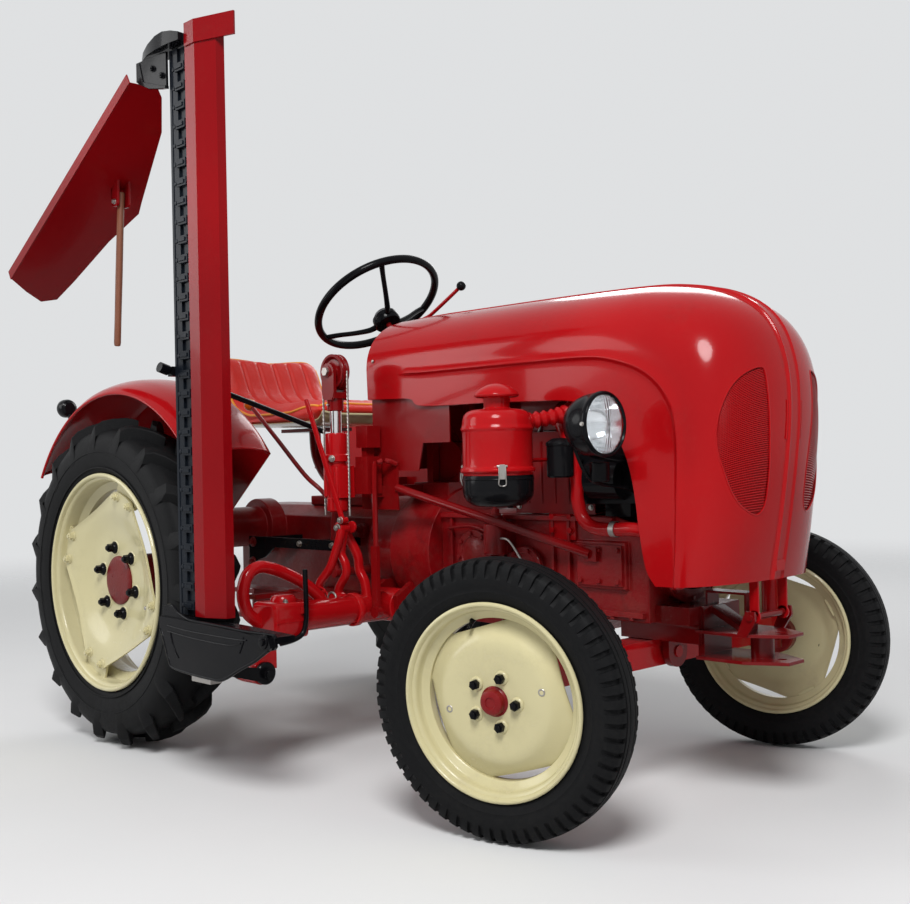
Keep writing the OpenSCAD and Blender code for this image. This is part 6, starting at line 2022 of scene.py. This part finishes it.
# Blades of the knife, wide at the root and pointed towards the fingers' tips
blade = Shape("bar_blue")
blade.prism([(58, -25.2), (98, -25.2), (126, -9), (126, 9), (98, 25.2), (58, 25.2)], -0.1, 3)
bar.at = shift(BAR_X, BAR_Y + 14.2, LOW_Z + PITCH) @ turn("X", 90)
bar.add(*repeat(blade, COUNT - 1, "bar_blue", step=(0, PITCH, 0)))
piece("cutter_bar_shown", bar, "mower_bar", "cutter_bar", edge=0.5)

# %% [markdown]
# At the bar's tip sits a small sled. Its curved sole is a loft over seven sections.

# %% Outer shoe
outer = Shape("black_paint", "bare", "scarlet")
outer.loft([[(x, y, z) for x, z, y in ring] for ring in (
    [(430, 1968, -836), (430, 1966, -806), (434, 1980, -806), (434, 1982, -836)],
    [(452, 1969, -846), (452, 1967, -802), (456, 1990, -802), (456, 1992, -846)],
    [(500, 1970, -860), (500, 1967, -801), (503, 1996, -801), (503, 1999, -860)],
    [(560, 1966, -872), (560, 1964, -800), (562, 2000, -800), (562, 2004, -872)],
    [(600, 1966, -874), (600, 1964, -800), (601, 2001, -800), (601, 2005, -874)],
    [(640, 1966, -872), (640, 1964, -800), (640, 1992, -800), (640, 1998, -872)],
    [(672, 1966, -868), (672, 1964, -800), (672, 1984, -800), (672, 1988, -868)])])
outer.slab([(431, 1966), (560, 1963), (587, 1961), (587, 1862), (560, 1866), (500, 1880), (456, 1900),
    (431, 1914)], -853.5, -846.5)
outer.slab([(436, 1962), (452, 1962), (470, 1906), (560, 1876), (585, 1870), (585, 1862), (560, 1866),
    (500, 1880), (456, 1900), (436, 1912)], -856, -844)
for x, z in ((520, 1930), (568, 1900)):
    outer.hex_bolt((x, -853, z), (0, -1, 0), 8, True, 2)
piece("outer_shoe_shown", outer, "mower_bar", "outer_shoe", edge=1.5)

# %% [markdown]
# The board is a flat sheet that leans back from the bar's tip. It has one folded edge, and
# its wooden stick hangs from a clip.

# %% Swath board and its stick
# The board's darker red is painted shade on its face, which looks down into shadow
board = Shape("shadow_scarlet", "bare")
board.at = shift(432, 0, 1906) @ turn("Y", 149.9)
EDGE = [(-6, -876), (883, -876), (940, -806), (986, -737), (968, -688), (866, -670), (650, -642),
    (503, -606), (448, -622), (149, -701), (21, -765), (-6, -790)]
board.prism(EDGE, 0, 3)
board.box((-6, -880, -28), (884, -876, 3))
board.home()
# Socket of the stick: a folded clip with a screw through it
CLIP = [(80, 1648), (86, 1641), (108, 1641), (114, 1648), (116, 1721), (78, 1699)]
board.slab(CLIP, -744, -736)
board.slab(CLIP, -707, -700)
board.box((78, -744, 1648), (84, -700, 1699))
board.look = 1
board.hex_bolt((97, -744, 1656), (0, -1, 0), 7, True, 1)
board.look = 0
piece("swath_board_shown", board, "mower_bar", "swath_board", edge=1.0)

stick = Shape("wood")
stick.at = aim((97, -721.5, 1686), (76, -732, 1221))
stick.turned([(0, 0), (9, 0), (10.6, 3), (10.4, 120), (10.8, 250), (10.2, 380), (10.4, 455), (9, 464),
    (5, 465.5), (0, 465.8)], 24)
piece("swath_stick_shown", stick, "mower_bar", "swath_stick")
print("lift and mower done; pieces so far:", len(MADE))

# %% [markdown]
# ## Floor, light and camera
#
# A pale floor that fades into the pale surroundings, so that no horizon shows. The world is
# weak as a light, but the camera, glossy paint and glass see it at its full tone.

# %% Floor and surroundings
PALE = (0.74, 0.75, 0.76)
floor_mesh = bpy.data.meshes.new("floor")
FLOOR_M = 14.0
corners = [(x * FLOOR_M, y * FLOOR_M, 0) for x, y in ((-1, -1), (1, -1), (1, 1), (-1, 1))]
floor_mesh.from_pydata(corners, [], [(0, 1, 2, 3)])
floor = link(bpy.data.objects.new("floor", floor_mesh))
g = Graph("floor")
grain = g.noise(3.0, 4)
far = g.node("ShaderNodeVectorMath", {"operation": "LENGTH"}, {0: g.place}).outputs["Value"]
tone = g.mix(grain * 0.5, (0.72, 0.72, 0.72), (0.68, 0.68, 0.68))
ground = g.node("ShaderNodeBsdfPrincipled", None, {"Base Color": tone, "Roughness": 0.85}).outputs[0]
clear = g.node("ShaderNodeBsdfTransparent").outputs[0]
fade = g.step(Value(g, far), 1.8, 9.5)
blend = g.node("ShaderNodeMixShader", None, {0: fade, 1: ground, 2: clear}).outputs[0]
g.node("ShaderNodeOutputMaterial", None, {"Surface": blend})
floor_mesh.materials.append(g.material)

world = bpy.data.worlds.new("studio")
world.use_nodes = True
tree = world.node_tree
tree.nodes.clear()
rays = tree.nodes.new("ShaderNodeLightPath").outputs
seen = tree.nodes.new("ShaderNodeMath")
seen.operation = "MAXIMUM"
tree.links.new(rays["Is Camera Ray"], seen.inputs[0])
tree.links.new(rays["Is Glossy Ray"], seen.inputs[1])
either = tree.nodes.new("ShaderNodeMath")
either.operation = "MAXIMUM"
tree.links.new(seen.outputs[0], either.inputs[0])
tree.links.new(rays["Is Transmission Ray"], either.inputs[1])
ambient, backdrop = tree.nodes.new("ShaderNodeBackground"), tree.nodes.new("ShaderNodeBackground")
ambient.inputs["Color"].default_value = (0.95, 0.97, 1.0, 1)
ambient.inputs["Strength"].default_value = 0.34
backdrop.inputs["Color"].default_value = (*PALE, 1)
backdrop.inputs["Strength"].default_value = 1.0
mixed = tree.nodes.new("ShaderNodeMixShader")
tree.links.new(either.outputs[0], mixed.inputs[0])
tree.links.new(ambient.outputs[0], mixed.inputs[1])
tree.links.new(backdrop.outputs[0], mixed.inputs[2])
tree.links.new(mixed.outputs[0], tree.nodes.new("ShaderNodeOutputWorld").inputs["Surface"])
bpy.context.scene.world = world

# %% [markdown]
# Three big round lamps: a key from the front right, and two weaker ones that fill the
# shadows. Their size keeps the shadows' edges soft.

# %% Lamps
for name, place, target, size, power in (
        ("key", (3.0, -3.4, 4.6), (0.1, -0.1, 0.6), 2.0, 300),
        ("fill", (-3.6, -4.2, 2.6), (0.0, 0.0, 0.7), 3.0, 90),
        ("back", (-2.0, 4.5, 3.8), (0.0, 0.0, 0.9), 3.0, 95)):
    data = bpy.data.lights.new(name, "AREA")
    data.shape, data.size, data.energy = "DISK", size, power
    lamp = link(bpy.data.objects.new(name, data))
    lamp.location = place
    lamp.rotation_euler = (Vector(target) - Vector(place)).to_track_quat("-Z", "Y").to_euler()

# %% [markdown]
# The camera stands where the picture was taken from. Its place and its focal length come from
# the round wheels, which show as ellipses in the picture.

# %% Camera
IMAGE_W, FOCAL_PX, SENSOR = 910, 1209.2443, 36.0
CAMERA_AT = Vector((2.7081, -2.4962, 0.8583))
yaw, pitch, roll = (math.radians(a) for a in (135.8337, 0.3225, -1.1906))
ahead = Vector((math.cos(yaw) * math.cos(pitch), math.sin(yaw) * math.cos(pitch), math.sin(pitch)))
level = ahead.cross(Vector((0, 0, 1))).normalized()
above = level.cross(ahead)
right = math.cos(roll) * level + math.sin(roll) * above
up = math.cos(roll) * above - math.sin(roll) * level
camera_data = bpy.data.cameras.new("camera")
camera_data.sensor_width = SENSOR
camera_data.lens = FOCAL_PX / IMAGE_W * SENSOR
camera_data.clip_start = 0.05
camera = link(bpy.data.objects.new("camera", camera_data))
camera.matrix_world = Matrix.Translation(CAMERA_AT) @ Matrix((right, up, -ahead)).transposed().to_4x4()
bpy.context.scene.camera = camera
bpy.context.scene.view_settings.view_transform = "Standard"
print("camera lens", round(camera_data.lens, 2), "mm")

# %% Finish
print("pieces:", len(MADE))
